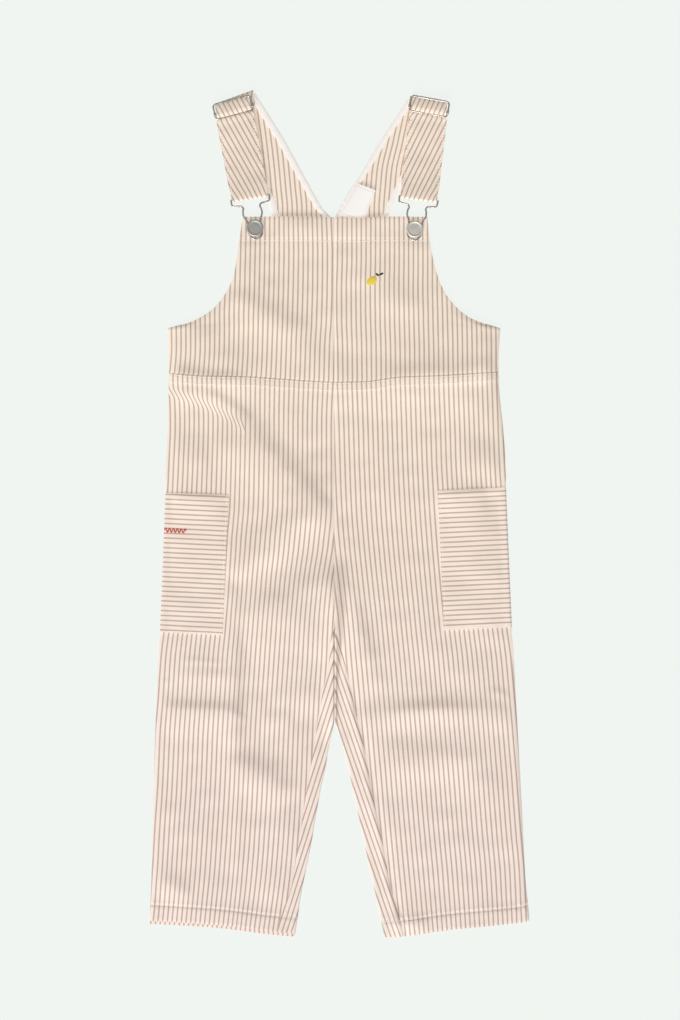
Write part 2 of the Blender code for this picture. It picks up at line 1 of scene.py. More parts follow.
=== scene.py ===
"""How the striped cotton dungarees look: cloth, stitching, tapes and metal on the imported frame.

The garment lies flat with its front up and the shoulder straps towards +Y. Every piece of cloth
is a thin shell over the form of its solid, worked out with numpy as a function of two parameters.
Tables are in millimetres where their names say so, and everything else is in metres. Across the
garment, `out` is the distance from the centre seam.
"""

import math
from collections import namedtuple

import bmesh
import bpy
import numpy as np
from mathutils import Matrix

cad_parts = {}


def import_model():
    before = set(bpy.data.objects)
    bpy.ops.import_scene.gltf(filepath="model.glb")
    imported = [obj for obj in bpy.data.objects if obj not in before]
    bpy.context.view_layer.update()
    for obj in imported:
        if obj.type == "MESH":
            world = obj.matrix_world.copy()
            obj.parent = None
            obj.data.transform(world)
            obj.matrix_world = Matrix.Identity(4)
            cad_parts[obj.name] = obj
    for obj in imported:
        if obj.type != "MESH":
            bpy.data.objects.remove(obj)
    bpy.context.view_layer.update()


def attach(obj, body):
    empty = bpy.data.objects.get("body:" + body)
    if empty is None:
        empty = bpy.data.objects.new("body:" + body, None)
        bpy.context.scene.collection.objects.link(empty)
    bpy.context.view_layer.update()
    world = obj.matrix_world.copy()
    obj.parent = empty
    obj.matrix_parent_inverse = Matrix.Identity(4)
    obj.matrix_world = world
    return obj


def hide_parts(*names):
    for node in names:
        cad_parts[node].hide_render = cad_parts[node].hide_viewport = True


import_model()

MM = 0.001

# Dimensions shared with the solids
CLOTH = 0.0010
GAP = 0.0003
LAYER = CLOTH + GAP
BACK_Z = CLOTH / 2
TAPE_Z = BACK_Z + LAYER
FRONT_Z = BACK_Z + 2 * LAYER
POCKET_Z = FRONT_Z + LAYER
CENTRE_X = -0.0050
BIB_TOP_Y = 0.2967
UNDERARM_Y = 0.1857
WAIST_Y = 0.1320
CROTCH_Y = -0.1250
HEM_Y = -0.4080
WAIST_REACH = 0.0500
HEM_REACH_Y = -0.3300
POCKET_MOUTH_Y = 0.0263
POCKET_FOOT_Y = -0.1190
POCKET_INNER = 0.1040
POCKET_TUCK = 0.0010
POCKET_MARGIN = 0.0180
POCKET_RAMP = 0.0220
TAPE_END_Y = 0.2800
STRAP_WIDTH = 0.0380
STRAP_IN_METAL = 0.0350
SLIDER_WIDTH = 0.0386
SLIDER_HEIGHT = 0.0150
SLIDER_WIRE = 0.00085
SLIDER_BAR_UP = -0.0026
SLIDER_CORNER = 0.0030
HOOK_WIRE = 0.0009
HOOK_BAR_REACH = 0.0312
BUTTON_RADIUS = 0.0085
BUTTON_SHANK = 0.0032
HOOK_Z = FRONT_Z + CLOTH / 2 + GAP + HOOK_WIRE
STRAP_TOP_Z = HOOK_Z + HOOK_WIRE + GAP + CLOTH / 2
SLIDER_Z = STRAP_TOP_Z

# The cloth: its walls, stripes, hems and stitch lines
WALL = 0.0007
STRAP_WALL = 0.0009
TAPE_WALL = 0.0005
LABEL_WALL = 0.0004
STRIPE_PITCH = 0.0048
TWILL_RIB = 0.00085
THREAD_TWIST = 0.00045
TAPE_RIB = 0.0011
HEM_DEPTH = 0.0160
BIB_HEM = 0.0240
WAIST_STITCHES = (0.0017, 0.0088)
POCKET_STITCH = 0.0019
STRAP_STITCH = 0.0022
TAPE_SHOWN = {"left": 0.0068, "right": 0.0056}
TAPE_OVER = 0.0003

# How the cloth lies: its loft, the roll of its side edges, the ridge along the waist seam, the
# lowest that the front sinks, the bank and the valley where the legs meet, with how far down
# the garment each comes and goes, how near a button the cloth lies quiet, and the left hip's tuck
LOFT = 0.0016
SIDE_ROLL = 0.0055
WAIST_RIDGE = 0.0016
FRONT_LOWEST = -0.0014
BANK_CREST_X = -0.0056
BANK_FOOT_X = 0.0078
BANK_FOOT_RUN = 0.0088
BANK_HEIGHT = 5.4 * MM
VALLEY_DEPTH = 2.9 * MM
BANK_STARTS = (0.050, 0.095)
BANK_RUNS_IN = (0.095, 0.185)
BANK_ENDS = (0.204, 0.234)
BY_BUTTON = (0.008, 0.026)
TUCK_START = 0.166
TUCK_START_Y = 0.124
TUCK_SLOPE = 0.26
TUCK_BEND = 2.6
TUCK_FULL = 0.106
TUCK_END = 0.0900
TUCK_DEPTH = 0.0056

# Relief along the seams and hems: how high each fold stands, and how deep each groove goes
BIB_HEM_RISE = 0.00025
BIB_HEM_GROOVE = 0.00025
BIB_EDGE_ROLL = 0.00012
ARM_EDGE_ROLL = 0.0003
CENTRE_GROOVE = 0.0007
CENTRE_SWELL = 0.0003
WAIST_GROOVE = 0.0001
WAIST_FOLD = 0.00030
WAIST_DIP = 0.0005
WAIST_STITCH_GROOVE = 0.0002
HEM_RISE = 0.0009
HEM_GROOVE = 0.0005
HEM_EDGE_ROLL = 0.0002
HEM_RIPPLE_HEIGHT = 0.00034
INSEAM_FALL = 0.50
INSEAM_SHARE = {"left": 0.15, "right": 1.0}
INSEAM_GROOVE = {"front": 0.0005, "back": 0.0007}
BACK_HIGHEST = 0.0007
BACK_RUMPLE_HEIGHT = 0.00016
BACK_GROOVE = 0.0002
TAPE_CROWN = 0.00025
TAPE_EDGE_ROLL = 0.0002
TAPE_RIPPLE_HEIGHT = 0.00010
TAPE_OVER_BACK = 0.0007
LABEL_BOW = 0.0007
LABEL_LIFT = 0.0008
LABEL_SINK = 0.0006
POCKET_CROWN = 0.0004
POCKET_EDGE_ROLL = 0.00012
POCKET_MOUTH_ROLL = 0.00015
POCKET_GROOVE = 0.00025
POCKET_HEM_RISE = 0.0004
POCKET_HEM_MIDDLE = 0.004
POCKET_HEM_LINE = 0.0075
POCKET_HEM_GROOVE = 0.0002
POCKET_SINK = 0.0005
STRAP_SWELL = 0.00035
STRAP_GROOVE = 0.0002
STRAP_RIPPLE_HEIGHT = 0.00012

# Steps between the rows and columns of the cloth, near its edges and between them
FINE = 0.0012
COARSE = 0.0022

Side = namedtuple("Side", "name sign")
LEFT = Side("left", -1.0)
RIGHT = Side("right", 1.0)
SIDES = (LEFT, RIGHT)

# Outlines: height, then the distance from the centre seam on the left and on the right.
Row = namedtuple("Row", "y left right")
SIDE_SEAM = (
    Row(-0.4232, 0.1852, 0.1952),
    Row(-0.4066, 0.1844, 0.1946),
    Row(-0.3635, 0.1825, 0.1907),
    Row(-0.2840, 0.1806, 0.1867),
    Row(-0.1860, 0.1776, 0.1813),
    Row(-0.1160, 0.1743, 0.1777),
    Row(0.0228, 0.1690, 0.1718),
    Row(0.0593, 0.1678, 0.1704),
    Row(0.0877, 0.1662, 0.1682),
    Row(0.1407, 0.1652, 0.1638),
    Row(UNDERARM_Y, 0.1664, 0.1655),
)
ARMHOLE = (
    Row(UNDERARM_Y, 0.1664, 0.1655),
    Row(0.1890, 0.1500, 0.1520),
    Row(0.1956, 0.1343, 0.1355),
    Row(0.2065, 0.1190, 0.1216),
    Row(0.2216, 0.1077, 0.1100),
    Row(0.2394, 0.1000, 0.1025),
    Row(0.2649, 0.0962, 0.0965),
    Row(BIB_TOP_Y, 0.0914, 0.0927),
)
INNER_FOLD = (
    Row(-0.4232, 0.0398, 0.0503),
    Row(-0.3750, 0.0324, 0.0402),
    Row(-0.3360, 0.0244, 0.0316),
    Row(-0.2840, 0.0155, 0.0206),
    Row(-0.2530, 0.0090, 0.0139),
    Row(-0.2300, 0.0051, 0.0084),
    Row(-0.2030, 0.0002, 0.0006),
    Row(CROTCH_Y, 0.0002, 0.0002),
)
INSEAM = (
    Row(-0.4232, 0.0590, 0.0700),
    Row(-0.4040, 0.0542, 0.0650),
    Row(-0.3710, 0.0427, 0.0560),
    Row(-0.3280, 0.0358, 0.0482),
    Row(-0.2735, 0.0271, 0.0370),
    Row(-0.2320, 0.0202, 0.0294),
    Row(-0.2010, 0.0158, 0.0220),
    Row(-0.1670, 0.0093, 0.0149),
    Row(-0.1410, 0.0046, 0.0087),
    Row(CROTCH_Y, 0.0036, 0.0042),
    Row(-0.1120, 0.0, 0.0),
    Row(WAIST_Y, 0.0, 0.0),
)
POCKET_EDGE = (Row(-0.1250, 0.1118, 0.1098), Row(0.0300, 0.1050, 0.1030))

# Seams that run across: distance from the centre seam, then the height on each side.
Across = namedtuple("Across", "out left right")
WAIST_SEAM = (
    Across(0.0000, 0.1317, 0.1317),
    Across(0.0300, 0.1332, 0.1323),
    Across(0.0660, 0.1358, 0.1368),
    Across(0.0900, 0.1372, 0.1376),
    Across(0.1300, 0.1379, 0.1397),
    Across(0.1650, 0.1407, 0.1421),
)
HEM_FRONT = (
    Across(0.0390, -0.4192, -0.4236),
    Across(0.0620, -0.4172, -0.4222),
    Across(0.1170, -0.4105, -0.4150),
    Across(0.1850, -0.4066, -0.4085),
    Across(0.1950, -0.4064, -0.4064),
)
HEM_BACK_DROP = {"left": 0.0035, "right": 0.0}
POCKET_TOP = (Across(0.1050, 0.0188, 0.0231), Across(0.1720, 0.0207, 0.0263))
POCKET_BOTTOM = (Across(0.1110, -0.1212, -0.1164), Across(0.1760, -0.1185, -0.1134))

# The back, from its strap end down to the waist: the neck edge and the arm edge of each row.
BackRow = namedtuple("BackRow", "neck_out neck_y arm_out arm_y")
STRAP_ROWS = {
    "left": (
        BackRow(0.0794, 0.4203, 0.1140, 0.4078),
        BackRow(0.0503, 0.3740, 0.0930, 0.3665),
        BackRow(0.0296, 0.3360, 0.0755, 0.3345),
        BackRow(0.0124, 0.3050, 0.0648, 0.3090),
        BackRow(0.0034, 0.2960, 0.0619, 0.2967),
    ),
    "right": (
        BackRow(0.0740, 0.4145, 0.1090, 0.4030),
        BackRow(0.0500, 0.3786, 0.0900, 0.3700),
        BackRow(0.0259, 0.3384, 0.0715, 0.3370),
        BackRow(0.0080, 0.3110, 0.0592, 0.3110),
        BackRow(0.0008, 0.2960, 0.0534, 0.2967),
    ),
}
BODICE_ROWS = (
    BackRow(0.0, 0.2880, 0.0600, 0.2800),
    BackRow(0.0, 0.2640, 0.0640, 0.2600),
    BackRow(0.0, 0.2400, 0.0720, 0.2400),
    BackRow(0.0, 0.2216, 0.0850, 0.2216),
    BackRow(0.0, 0.2065, 0.1050, 0.2065),
    BackRow(0.0, 0.1956, 0.1260, 0.1956),
    BackRow(0.0, 0.1890, 0.1480, 0.1890),
    BackRow(0.0, 0.1820, 0.1640, 0.1850),
    BackRow(0.0, 0.1600, 0.1640, 0.1630),
    BackRow(0.0, WAIST_Y, 0.1640, 0.1410),
)

# Where the metal lies: each button, how far its hook leans, and each slider.
Metal = namedtuple("Metal", "button_x button_y hook_lean slider_x slider_y slider_lean fold_lean")
METAL = {
    "left": Metal(-0.0842, 0.2850, 9.3, -0.1060, 0.4053, 14.6, 19.7),
    "right": Metal(0.0752, 0.2839, -7.4, 0.0897, 0.4064, -10.1, -17.0),
}
SHOULDER = {"left": (-0.0863, 0.4234), "right": (0.0708, 0.4176)}
SHOULDER_TURN = LAYER
SHOULDER_REACH = SHOULDER_TURN + CLOTH / 2
HookPoint = namedtuple("HookPoint", "x y")
HOOK_HALF = (
    HookPoint(0.0000, -0.0106),
    HookPoint(0.0030, -0.0100),
    HookPoint(0.0056, -0.0076),
    HookPoint(0.0068, -0.0030),
    HookPoint(0.0062, 0.0050),
    HookPoint(0.0078, 0.0100),
    HookPoint(0.0094, 0.0140),
    HookPoint(0.0092, 0.0185),
    HookPoint(0.0084, 0.0212),
    HookPoint(0.0098, 0.0236),
    HookPoint(0.0130, 0.0242),
    HookPoint(0.0178, 0.0250),
    HookPoint(0.0191, 0.0268),
    HookPoint(0.0191, 0.0296),
    HookPoint(0.0178, HOOK_BAR_REACH),
    HookPoint(0.0000, HOOK_BAR_REACH),
)

# How far the stripes have drifted outwards at each height, in millimetres, along both edges. The
# legs' rows and the bib's are the output of another program, a least-squares fit to the real
# stripes. Only the bib's left columns at 195 and 167 were then changed.
Drift = namedtuple("Drift", "y left_inner left_outer right_inner right_outer")
LEG_DRIFT_MM = (
    Drift(132, -1.0, 0.2, 0.6, 1.1),
    Drift(90, 0.8, -1.2, 2.2, 2.7),
    Drift(50, 0.7, 0.3, 3.3, 4.2),
    Drift(10, 0.6, 2.4, 4.7, 6.9),
    Drift(-30, 3.7, 5.6, 7.6, 9.7),
    Drift(-70, 10.0, 5.9, 11.9, 12.4),
    Drift(-110, 13.7, 8.9, 16.5, 15.7),
    Drift(-145, 15.1, 13.2, 19.3, 20.4),
    Drift(-180, 17.6, 15.4, 22.5, 23.5),
    Drift(-220, 19.4, 18.7, 26.1, 27.1),
    Drift(-265, 21.1, 20.8, 30.1, 30.9),
    Drift(-315, 23.8, 24.0, 34.4, 34.6),
    Drift(-360, 27.6, 26.6, 38.8, 38.5),
    Drift(-425, 36.3, 31.7, 45.3, 40.9),
)
BIB_DRIFT_MM = (
    Drift(297, 1.0, -0.9, 1.0, -0.7),
    Drift(257, -0.3, 0.0, 0.9, -0.5),
    Drift(225, -0.1, 0.8, 0.0, -0.6),
    Drift(195, 0.7, 2.0, 0.1, 0.1),
    Drift(167, 2.5, 1.6, 1.0, 0.6),
    Drift(132, 3.2, 4.4, 1.4, 0.7),
)
BACK_DRIFT_MM = (
    Drift(425, 0.8, 0.8, 0.2, 0.2),
    Drift(370, -6.9, -6.9, -11.3, -11.3),
    Drift(345, -9.7, -9.7, -17.0, -17.0),
    Drift(325, -11.4, -11.4, -18.8, -18.8),
    Drift(306, -13.1, -13.1, -20.1, -20.1),
    Drift(132, -14.0, -14.0, -20.5, -20.5),
    Drift(-125, -4.0, -4.0, -10.0, -10.0),
    Drift(-425, 16.0, 14.0, 14.0, 12.0),
)

# The main creases of the front, in millimetres: a bowed line between two ends, the width of its
# slope on the left hand and on the right hand of the line, and its height.
Crease = namedtuple("Crease", "x0 y0 x1 y1 bow upper lower height")
FRONT_CREASES_MM = (
    # bib
    Crease(-112, 218, -22, 180, -5, 14, 24, 2.6),
    Crease(-104, 250, -56, 216, -2, 9, 12, 0.7),
    Crease(-178, 139, -88, 132, 0, 8, 17, 2.2),
    Crease(24, 130, 164, 146, 0, 13, 20, 2.9),
    Crease(30, 222, 92, 204, 0, 12, 20, 1.4),
    Crease(-62, 290, 40, 286, -3, 12, 12, 0.7),
    Crease(90, 262, 40, 230, 4, 16, 14, 0.6),
    Crease(145, 192, 145, 126, 0, 8, 14, 1.4),
    # left leg, from the waist to the knee
    Crease(-136, 120, -84, 88, 3, 6, 12, 1.6),
    Crease(-178, 122, -112, 114, 2, 6, 10, 0.8),
    Crease(-110, 98, -4, -8, -2, 16, 38, 4.2),
    Crease(-178, 50, -128, 56, 0, 30, 20, 2.0),
    Crease(-174, 12, -112, 10, 0, 13, 20, 1.5),
    Crease(-111, -65, -8, 15, 0, 21, 18, 4.6),
    Crease(-106, -106, 10, -62, -3, 22, 60, 4.4),
    Crease(-60, 104, -30, 60, 0, 16, 16, 0.8),
    Crease(-105, -60, -106, -264, 1, 7, 16, 3.1),
    # right leg, from the waist to the knee
    Crease(26, 118, 160, 116, -2, 9, 22, 1.0),
    Crease(116, 53, 172, 53, 0, 15, 18, 1.5),
    Crease(102, 14, 148, 17, 0, 12, 20, 1.7),
    Crease(-4, -40, 40, -184, 0, 10, 14, 2.6),
    Crease(20, 96, 60, 10, 4, 20, 20, 0.8),
    Crease(60, -40, 92, -150, 4, 18, 18, 0.7),
    # lower legs
    Crease(-180, -164, -96, -164, 2, 8, 9, 1.0),
    Crease(-184, -195, -92, -198, 0, 9, 22, 2.8),
    Crease(-160, -146, -109, -149, 0, 3, 4, 0.5),
    Crease(-184, -173, -168, -167, 1, 3, 4, 0.8),
    Crease(-112, -195, -92, -207, 0, 3, 5, 0.5),
    Crease(-72, -186, -14, -184, 2, 12, 12, 1.4),
    Crease(-80, -204, -44, -204, 0, 9, 12, 1.4),
    Crease(-112, -247, -46, -285, 2, 15, 20, 3.7),
    Crease(-188, -366, -146, -386, 3, 10, 18, 2.0),
    Crease(-172, -318, -120, -330, 0, 14, 16, 0.8),
    Crease(16, -207, 192, -203, 9, 11, 17, 2.7),
    Crease(40, -200, 150, -198, 4, 5, 8, 0.35),
    Crease(148, -176, 180, -189, 2, 4, 6, 0.9),
    Crease(34, -249, 148, -244, 0, 20, 22, 2.6),
    Crease(70, -330, 150, -342, 0, 14, 18, 0.8),
    Crease(46, -409, 92, -411, 0, 9, 8, 1.5),
    Crease(-102, -262, -101, -396, 1, 4, 6, 0.8),
)
BACK_CREASES_MM = (
    Crease(-120, 232, -30, 206, 4, 12, 16, 0.6),
    Crease(24, 170, 150, 156, -3, 12, 12, 0.6),
    Crease(-150, 92, -20, 40, 8, 14, 18, 0.7),
    Crease(30, 88, 150, 60, -6, 14, 18, 0.7),
    Crease(-60, -60, -8, -30, 4, 12, 14, 0.7),
    Crease(20, -40, 70, -130, 4, 14, 14, 0.6),
    Crease(-160, -196, -60, -204, 3, 10, 12, 0.7),
    Crease(60, -214, 170, -206, 3, 10, 12, 0.7),
    Crease(-140, -330, -80, -310, 3, 12, 12, 0.6),
    Crease(80, -338, 160, -352, 3, 12, 12, 0.6),
    Crease(-74, 352, -40, 318, 3, 8, 10, 0.4),
    Crease(30, 350, 52, 318, 3, 8, 10, 0.4),
)

# Small soft unevenness: the seed of its draw, the size of its waves and its height. The back's is
# a share of its own height.
Rumple = namedtuple("Rumple", "seed size height")
FRONT_RUMPLE = Rumple(7, 0.034, 0.00022)
WIDE_RUMPLE = Rumple(8, 0.075, 0.00040)
BACK_RUMPLE = Rumple(12, 0.050, 1.0)
POCKET_RUMPLE = Rumple(17, 0.030, 0.00012)
STRAP_RUMPLE = Rumple(19, 0.024, 0.00016)
RUMPLE_WAVES = 24

# Ripples along a stitched edge: the seed of their draw and the length of one ripple.
Ripple = namedtuple("Ripple", "seed length")
HEM_RIPPLE = {"left": Ripple(20, 0.0062), "right": Ripple(22, 0.0062)}
TAPE_RIPPLE = {"left": Ripple(30, 0.0075), "right": Ripple(32, 0.0075)}
STRAP_RIPPLE = Ripple(41, 0.0078)


def smooth_curve(places, values, at):
    """A cubic through the values that never swings past them (harmonic-mean slopes)."""
    x = np.array(places, float)
    v = np.array(values, float)
    if x[0] > x[-1]:
        x = x[::-1]
        v = v[::-1]
    step = np.diff(x)
    slope = np.diff(v) / step
    product = slope[:-1] * slope[1:]
    total = np.where(product > 0, slope[:-1] + slope[1:], 1.0)
    bend = np.where(product > 0, 2 * product / total, 0.0)
    tangent = np.concatenate([slope[:1], bend, slope[-1:]])
    i = np.clip(np.searchsorted(x, at, side="right") - 1, 0, len(step) - 1)
    t = np.clip((at - x[i]) / step[i], 0.0, 1.0)
    start = v[i] * (1 + 2 * t) * (1 - t) ** 2 + v[i + 1] * t * t * (3 - 2 * t)
    return start + step[i] * (tangent[i] * t * (1 - t) ** 2 - tangent[i + 1] * t * t * (1 - t))


def read_table(table, column, at):
    """The value of a table's named column where its first column is `at`."""
    return smooth_curve([row[0] for row in table], [getattr(row, column) for row in table], at)


def fade(value, start, end):
    """0 before start, 1 past end, smooth between them."""
    t = np.clip((value - start) / (end - start), 0.0, 1.0)
    return t * t * (3 - 2 * t)


def bell(distance, width):
    """1 at no distance, dying away as exp of minus the square of distance over width."""
    return np.exp(-((distance / width) ** 2))


def level_with_pocket(y):
    """1 at the height of the pockets, 0 well above and below them."""
    foot = POCKET_FOOT_Y - POCKET_MARGIN
    mouth = POCKET_MOUTH_Y + POCKET_MARGIN
    return fade(y, foot - POCKET_RAMP, foot) * (1 - fade(y, mouth, mouth + POCKET_RAMP))


def by_pocket(out, y):
    """1 where a leg lies over or under a pocket, 0 well away from it."""
    inner = POCKET_INNER - POCKET_MARGIN
    return fade(out, inner - POCKET_RAMP, inner) * level_with_pocket(y)


def tuck(y):
    """How far the side seam lies inside the outline, where the pocket wraps round it."""
    above_foot = fade(y, POCKET_FOOT_Y - 0.014, POCKET_FOOT_Y + 0.002)
    above_mouth = fade(y, POCKET_MOUTH_Y - 0.003, POCKET_MOUTH_Y + 0.012)
    return POCKET_TUCK * above_foot * (1 - above_mouth)


def crease_height(x, y, creases):
    """Sum of creases at points in millimetres.

    Each is a bell across a line bowed as a parabola, narrower on one hand than on the other. It
    fades along the line as 1 minus the fourth power of the distance from its middle, all of that
    to the power 1.5.
    """
    total = np.zeros_like(x)
    for crease in creases:
        along_x = crease.x1 - crease.x0
        along_y = crease.y1 - crease.y0
        length = math.hypot(along_x, along_y)
        t = ((x - crease.x0) * along_x + (y - crease.y0) * along_y) / length**2
        off = ((y - crease.y0) * along_x - (x - crease.x0) * along_y) / length
        off = off - crease.bow * 4 * t * (1 - t)
        width = np.where(off > 0, crease.upper, crease.lower)
        along = np.clip(1 - (2 * t - 1) ** 4, 0.0, 1.0)
        total += crease.height * bell(off, width) * along**1.5
    return total * MM


def rumple(x, y, kind):
    """Small soft unevenness: the sum of 24 plane waves of seeded direction, length and phase."""
    draw = np.random.default_rng(kind.seed)
    angle = draw.uniform(0, math.pi, RUMPLE_WAVES)
    number = 2 * math.pi / (kind.size * draw.uniform(0.6, 2.2, RUMPLE_WAVES))
    phase = draw.uniform(0, 2 * math.pi, RUMPLE_WAVES)
    total = np.zeros_like(x)
    for a, k, p in zip(angle, number, phase):
        total += np.cos(k * (x * math.cos(a) + y * math.sin(a)) + p)
    return kind.height * total / math.sqrt(RUMPLE_WAVES)


def outer_edge(side, y):
    """Distance out to the edge of the front: the side seam, or the armhole above it."""
    seam = read_table(SIDE_SEAM, side.name, y)
    return np.where(y < UNDERARM_Y, seam, read_table(ARMHOLE, side.name, y))


def waist_height(side, out):
    """The height of the waist seam at a distance from the centre seam."""
    return read_table(WAIST_SEAM, side.name, out)


def legs_meet(x, y):
    """The bank of the left leg, which falls to a valley in the right one where the legs meet.

    A smooth step between the crest and the foot, with a bell on either hand. The foot lies well
    out on the right leg at the top, and runs in past the seam lower down.
    """
    foot_x = BANK_FOOT_X - BANK_FOOT_RUN * fade(-y, *BANK_RUNS_IN)
    fall = fade(x, BANK_CREST_X, foot_x)
    before = bell(np.minimum(x - BANK_CREST_X, 0.0), 0.0090)
    after = bell(np.maximum(x - foot_x, 0.0), 0.0075)
    between = fade(-y, *BANK_STARTS) * (1 - fade(-y, *BANK_ENDS))
    return (BANK_HEIGHT * before * (1 - fall) - VALLEY_DEPTH * after * fall) * between


def front_lift(side, out, y):
    """How far the front stands above its flat height.

    A low loft away from the edges, the creases and the rumple, all fading to the side seams and
    to the metal but less so along the armhole, then a ridge along the waist seam and the bank
    where the legs meet.
    """
    x = CENTRE_X + side.sign * out
    inside = outer_edge(side, y) - out
    from_fold = out - read_table(INNER_FOLD, side.name, y)
    below = fade(-y, 0.070, 0.200)
    quiet = fade(inside, 0.0015, 0.014) * (1 - below * (1 - fade(from_fold, 0.001, 0.010)))
    metal = METAL[side.name]
    from_button = np.hypot(x - metal.button_x, y - metal.button_y)
    quiet = quiet * fade(from_button, *BY_BUTTON) * (1 - fade(y, 0.286, BIB_TOP_Y) * 0.6)
    at_armhole = fade(y, UNDERARM_Y - 0.010, UNDERARM_Y + 0.010)
    spread = fade(inside, 0.0, 0.040) * (1 - at_armhole)
    spread = spread + (0.75 + 0.25 * fade(inside, 0.0, 0.070)) * at_armhole
    quiet = quiet + (1 - quiet) * 0.8 * at_armhole * fade(from_button, *BY_BUTTON)
    loft = LOFT * spread * (1 - below * (1 - fade(from_fold, 0.0, 0.030)))
    small = rumple(x, y, FRONT_RUMPLE) + rumple(x, y, WIDE_RUMPLE)
    height = quiet * (loft + crease_height(x / MM, y / MM, FRONT_CREASES_MM) + small)
    above = y - waist_height(side, out)
    ridge = np.where(above > 0, bell(above, 0.045), bell(above, 0.027))
    height = height + WAIST_RIDGE * ridge * fade(inside, 0.0, 0.010)
    return np.maximum(height + legs_meet(x, y), FRONT_LOWEST)


def side_drop(inside, drop):
    """A quarter round that takes an edge down by drop over the last few millimetres."""
    t = np.clip(1 - inside / SIDE_ROLL, 0.0, 1.0)
    return drop * (1 - np.sqrt(1 - t * t))


def pucker(along, ripple):
    """Uneven ripples along a stitched edge, from -1 to 1: a sine whose phase wanders."""
    draw = np.random.default_rng(ripple.seed)
    wander = draw.uniform(0, 2 * math.pi, 3)
    phase = 2 * math.pi * along / ripple.length
    slow = 1.1 * np.sin(phase * 0.23 + wander[0])
    phase = phase + slow + 0.8 * np.sin(phase * 0.37 + wander[1])
    return np.sin(phase) * (0.65 + 0.35 * np.sin(phase * 0.17 + wander[2]))


def seam_groove(distance, depth, width):
    """A groove along a seam: minus a bell of the distance from it."""
    return -depth * bell(distance, width)


def stations(length, fine_start, fine_end, fine=FINE):
    """Values from 0 to 1, fine steps at both ends and coarse ones between, for this length."""
    start = np.arange(0.0, fine_start - fine / 2, fine)
    end = length - np.arange(0.0, fine_end, fine)[::-1]
    count = max(2, round((end[0] - fine_start) / COARSE) + 1)
    middle = np.linspace(fine_start, end[0], count)[:-1]
    return np.concatenate([start, middle, end]) / length


def grid(columns, rows):
    """The two parameters of a surface, each as a whole rows by columns array."""
    return np.meshgrid(columns, rows)


def put_in_scene(name, mesh, material):
    """An object for a mesh, smoothly shaded in one material."""
    made = bpy.data.objects.new(name, mesh)
    mesh.materials.append(material)
    mesh.shade_smooth()
    bpy.context.scene.collection.objects.link(made)
    return made


def surface(
    name, points, material, grain=None, keep=None, wrap_rows=False, wrap_columns=False, slip=None
):
    """One mesh from a rows by columns grid of points, joined to a ring where a wrap is asked for.

    grain is the place of each point in the flat cloth, across and along, as the UV map "grain".
    keep says for each quad whether it is part of the surface. slip is a pair: how much further
    across the cloth each point is, and for which quads that counts, as beside a tuck.
    """
    rows, columns = points.shape[:2]
    index = np.arange(rows * columns).reshape(rows, columns)
    if wrap_rows:
        index = np.concatenate([index, index[:1]])
    if wrap_columns:
        index = np.concatenate([index, index[:, :1]], axis=1)
    corners = (index[:-1, :-1], index[1:, :-1], index[1:, 1:], index[:-1, 1:])
    quads = np.stack(corners, axis=-1).reshape(-1, 4)
    if keep is not None:
        quads = quads[keep.reshape(-1)]
    used, quads = np.unique(quads, return_inverse=True)
    quads = quads.reshape(-1, 4)
    mesh = bpy.data.meshes.new(name)
    mesh.vertices.add(len(used))
    mesh.vertices.foreach_set("co", points.reshape(-1, 3)[used].astype(np.float32).ravel())
    mesh.loops.add(quads.size)
    mesh.loops.foreach_set("vertex_index", quads.astype(np.int32).ravel())
    mesh.polygons.add(len(quads))
    mesh.polygons.foreach_set("loop_start", np.arange(0, quads.size, 4, dtype=np.int32))
    mesh.update(calc_edges=True)
    if grain is not None:
        layer = mesh.uv_layers.new(name="grain")
        places = grain.reshape(-1, 2)[used][quads.ravel()]
        if slip is not None:
            amount, where = slip
            slipped = amount.reshape(-1)[used][quads.ravel()].reshape(-1, 4)
            places[:, 0] += (slipped * where.reshape(-1, 1)).ravel()
        layer.data.foreach_set("uv", places.astype(np.float32).ravel())
    return put_in_scene(name, mesh, material)


# Points nearer than this are one point: on a whole piece, and on a stitch.
MERGE = 0.000005
MERGE_IN_STITCH = 1e-8


def close_up(piece, distance=MERGE):
    """Merges the points that meet at poles and turns every face outwards."""
    shape = bmesh.new()
    shape.from_mesh(piece.data)
    bmesh.ops.remove_doubles(shape, verts=shape.verts, dist=distance)
    bmesh.ops.dissolve_degenerate(shape, edges=shape.edges, dist=distance / 5)
    bmesh.ops.recalc_face_normals(shape, faces=shape.faces)
    shape.to_mesh(piece.data)
    shape.free()
    return piece


def sharpen_rim(mesh):
    """Marks the edges with a face on one side only, so that shading doesn't run round the rim."""
    edges = np.empty(len(mesh.loops), np.int32)
    mesh.loops.foreach_get("edge_index", edges)
    faces_on = np.bincount(edges, minlength=len(mesh.edges))
    rim = mesh.attributes.new("sharp_edge", "BOOLEAN", "EDGE")
    rim.data.foreach_set("value", faces_on == 1)


Cut = namedtuple("Cut", "width length area held rests_on")


def cloth(
    name, points, grain, material, nodes, keep=None, wall=WALL, slip=None
):
    """A sheet of cloth: a surface with half its wall on either hand, crisp at its rim.

    It stands for its nodes and rides on the body.
    """
    piece = surface(name, points, material, grain, keep, slip=slip)
    sharpen_rim(piece.data)
    shell = piece.modifiers.new("cloth wall", "SOLIDIFY")
    shell.thickness = wall
    shell.offset = 0.0
    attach(piece, "root")
    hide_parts(*nodes)
    return piece


def solid_piece(piece, nodes=()):
    """Rides a piece of metal or thread on the body and hides the parts that it stands for."""
    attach(piece, "root")
    if nodes:
        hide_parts(*nodes)
    return piece


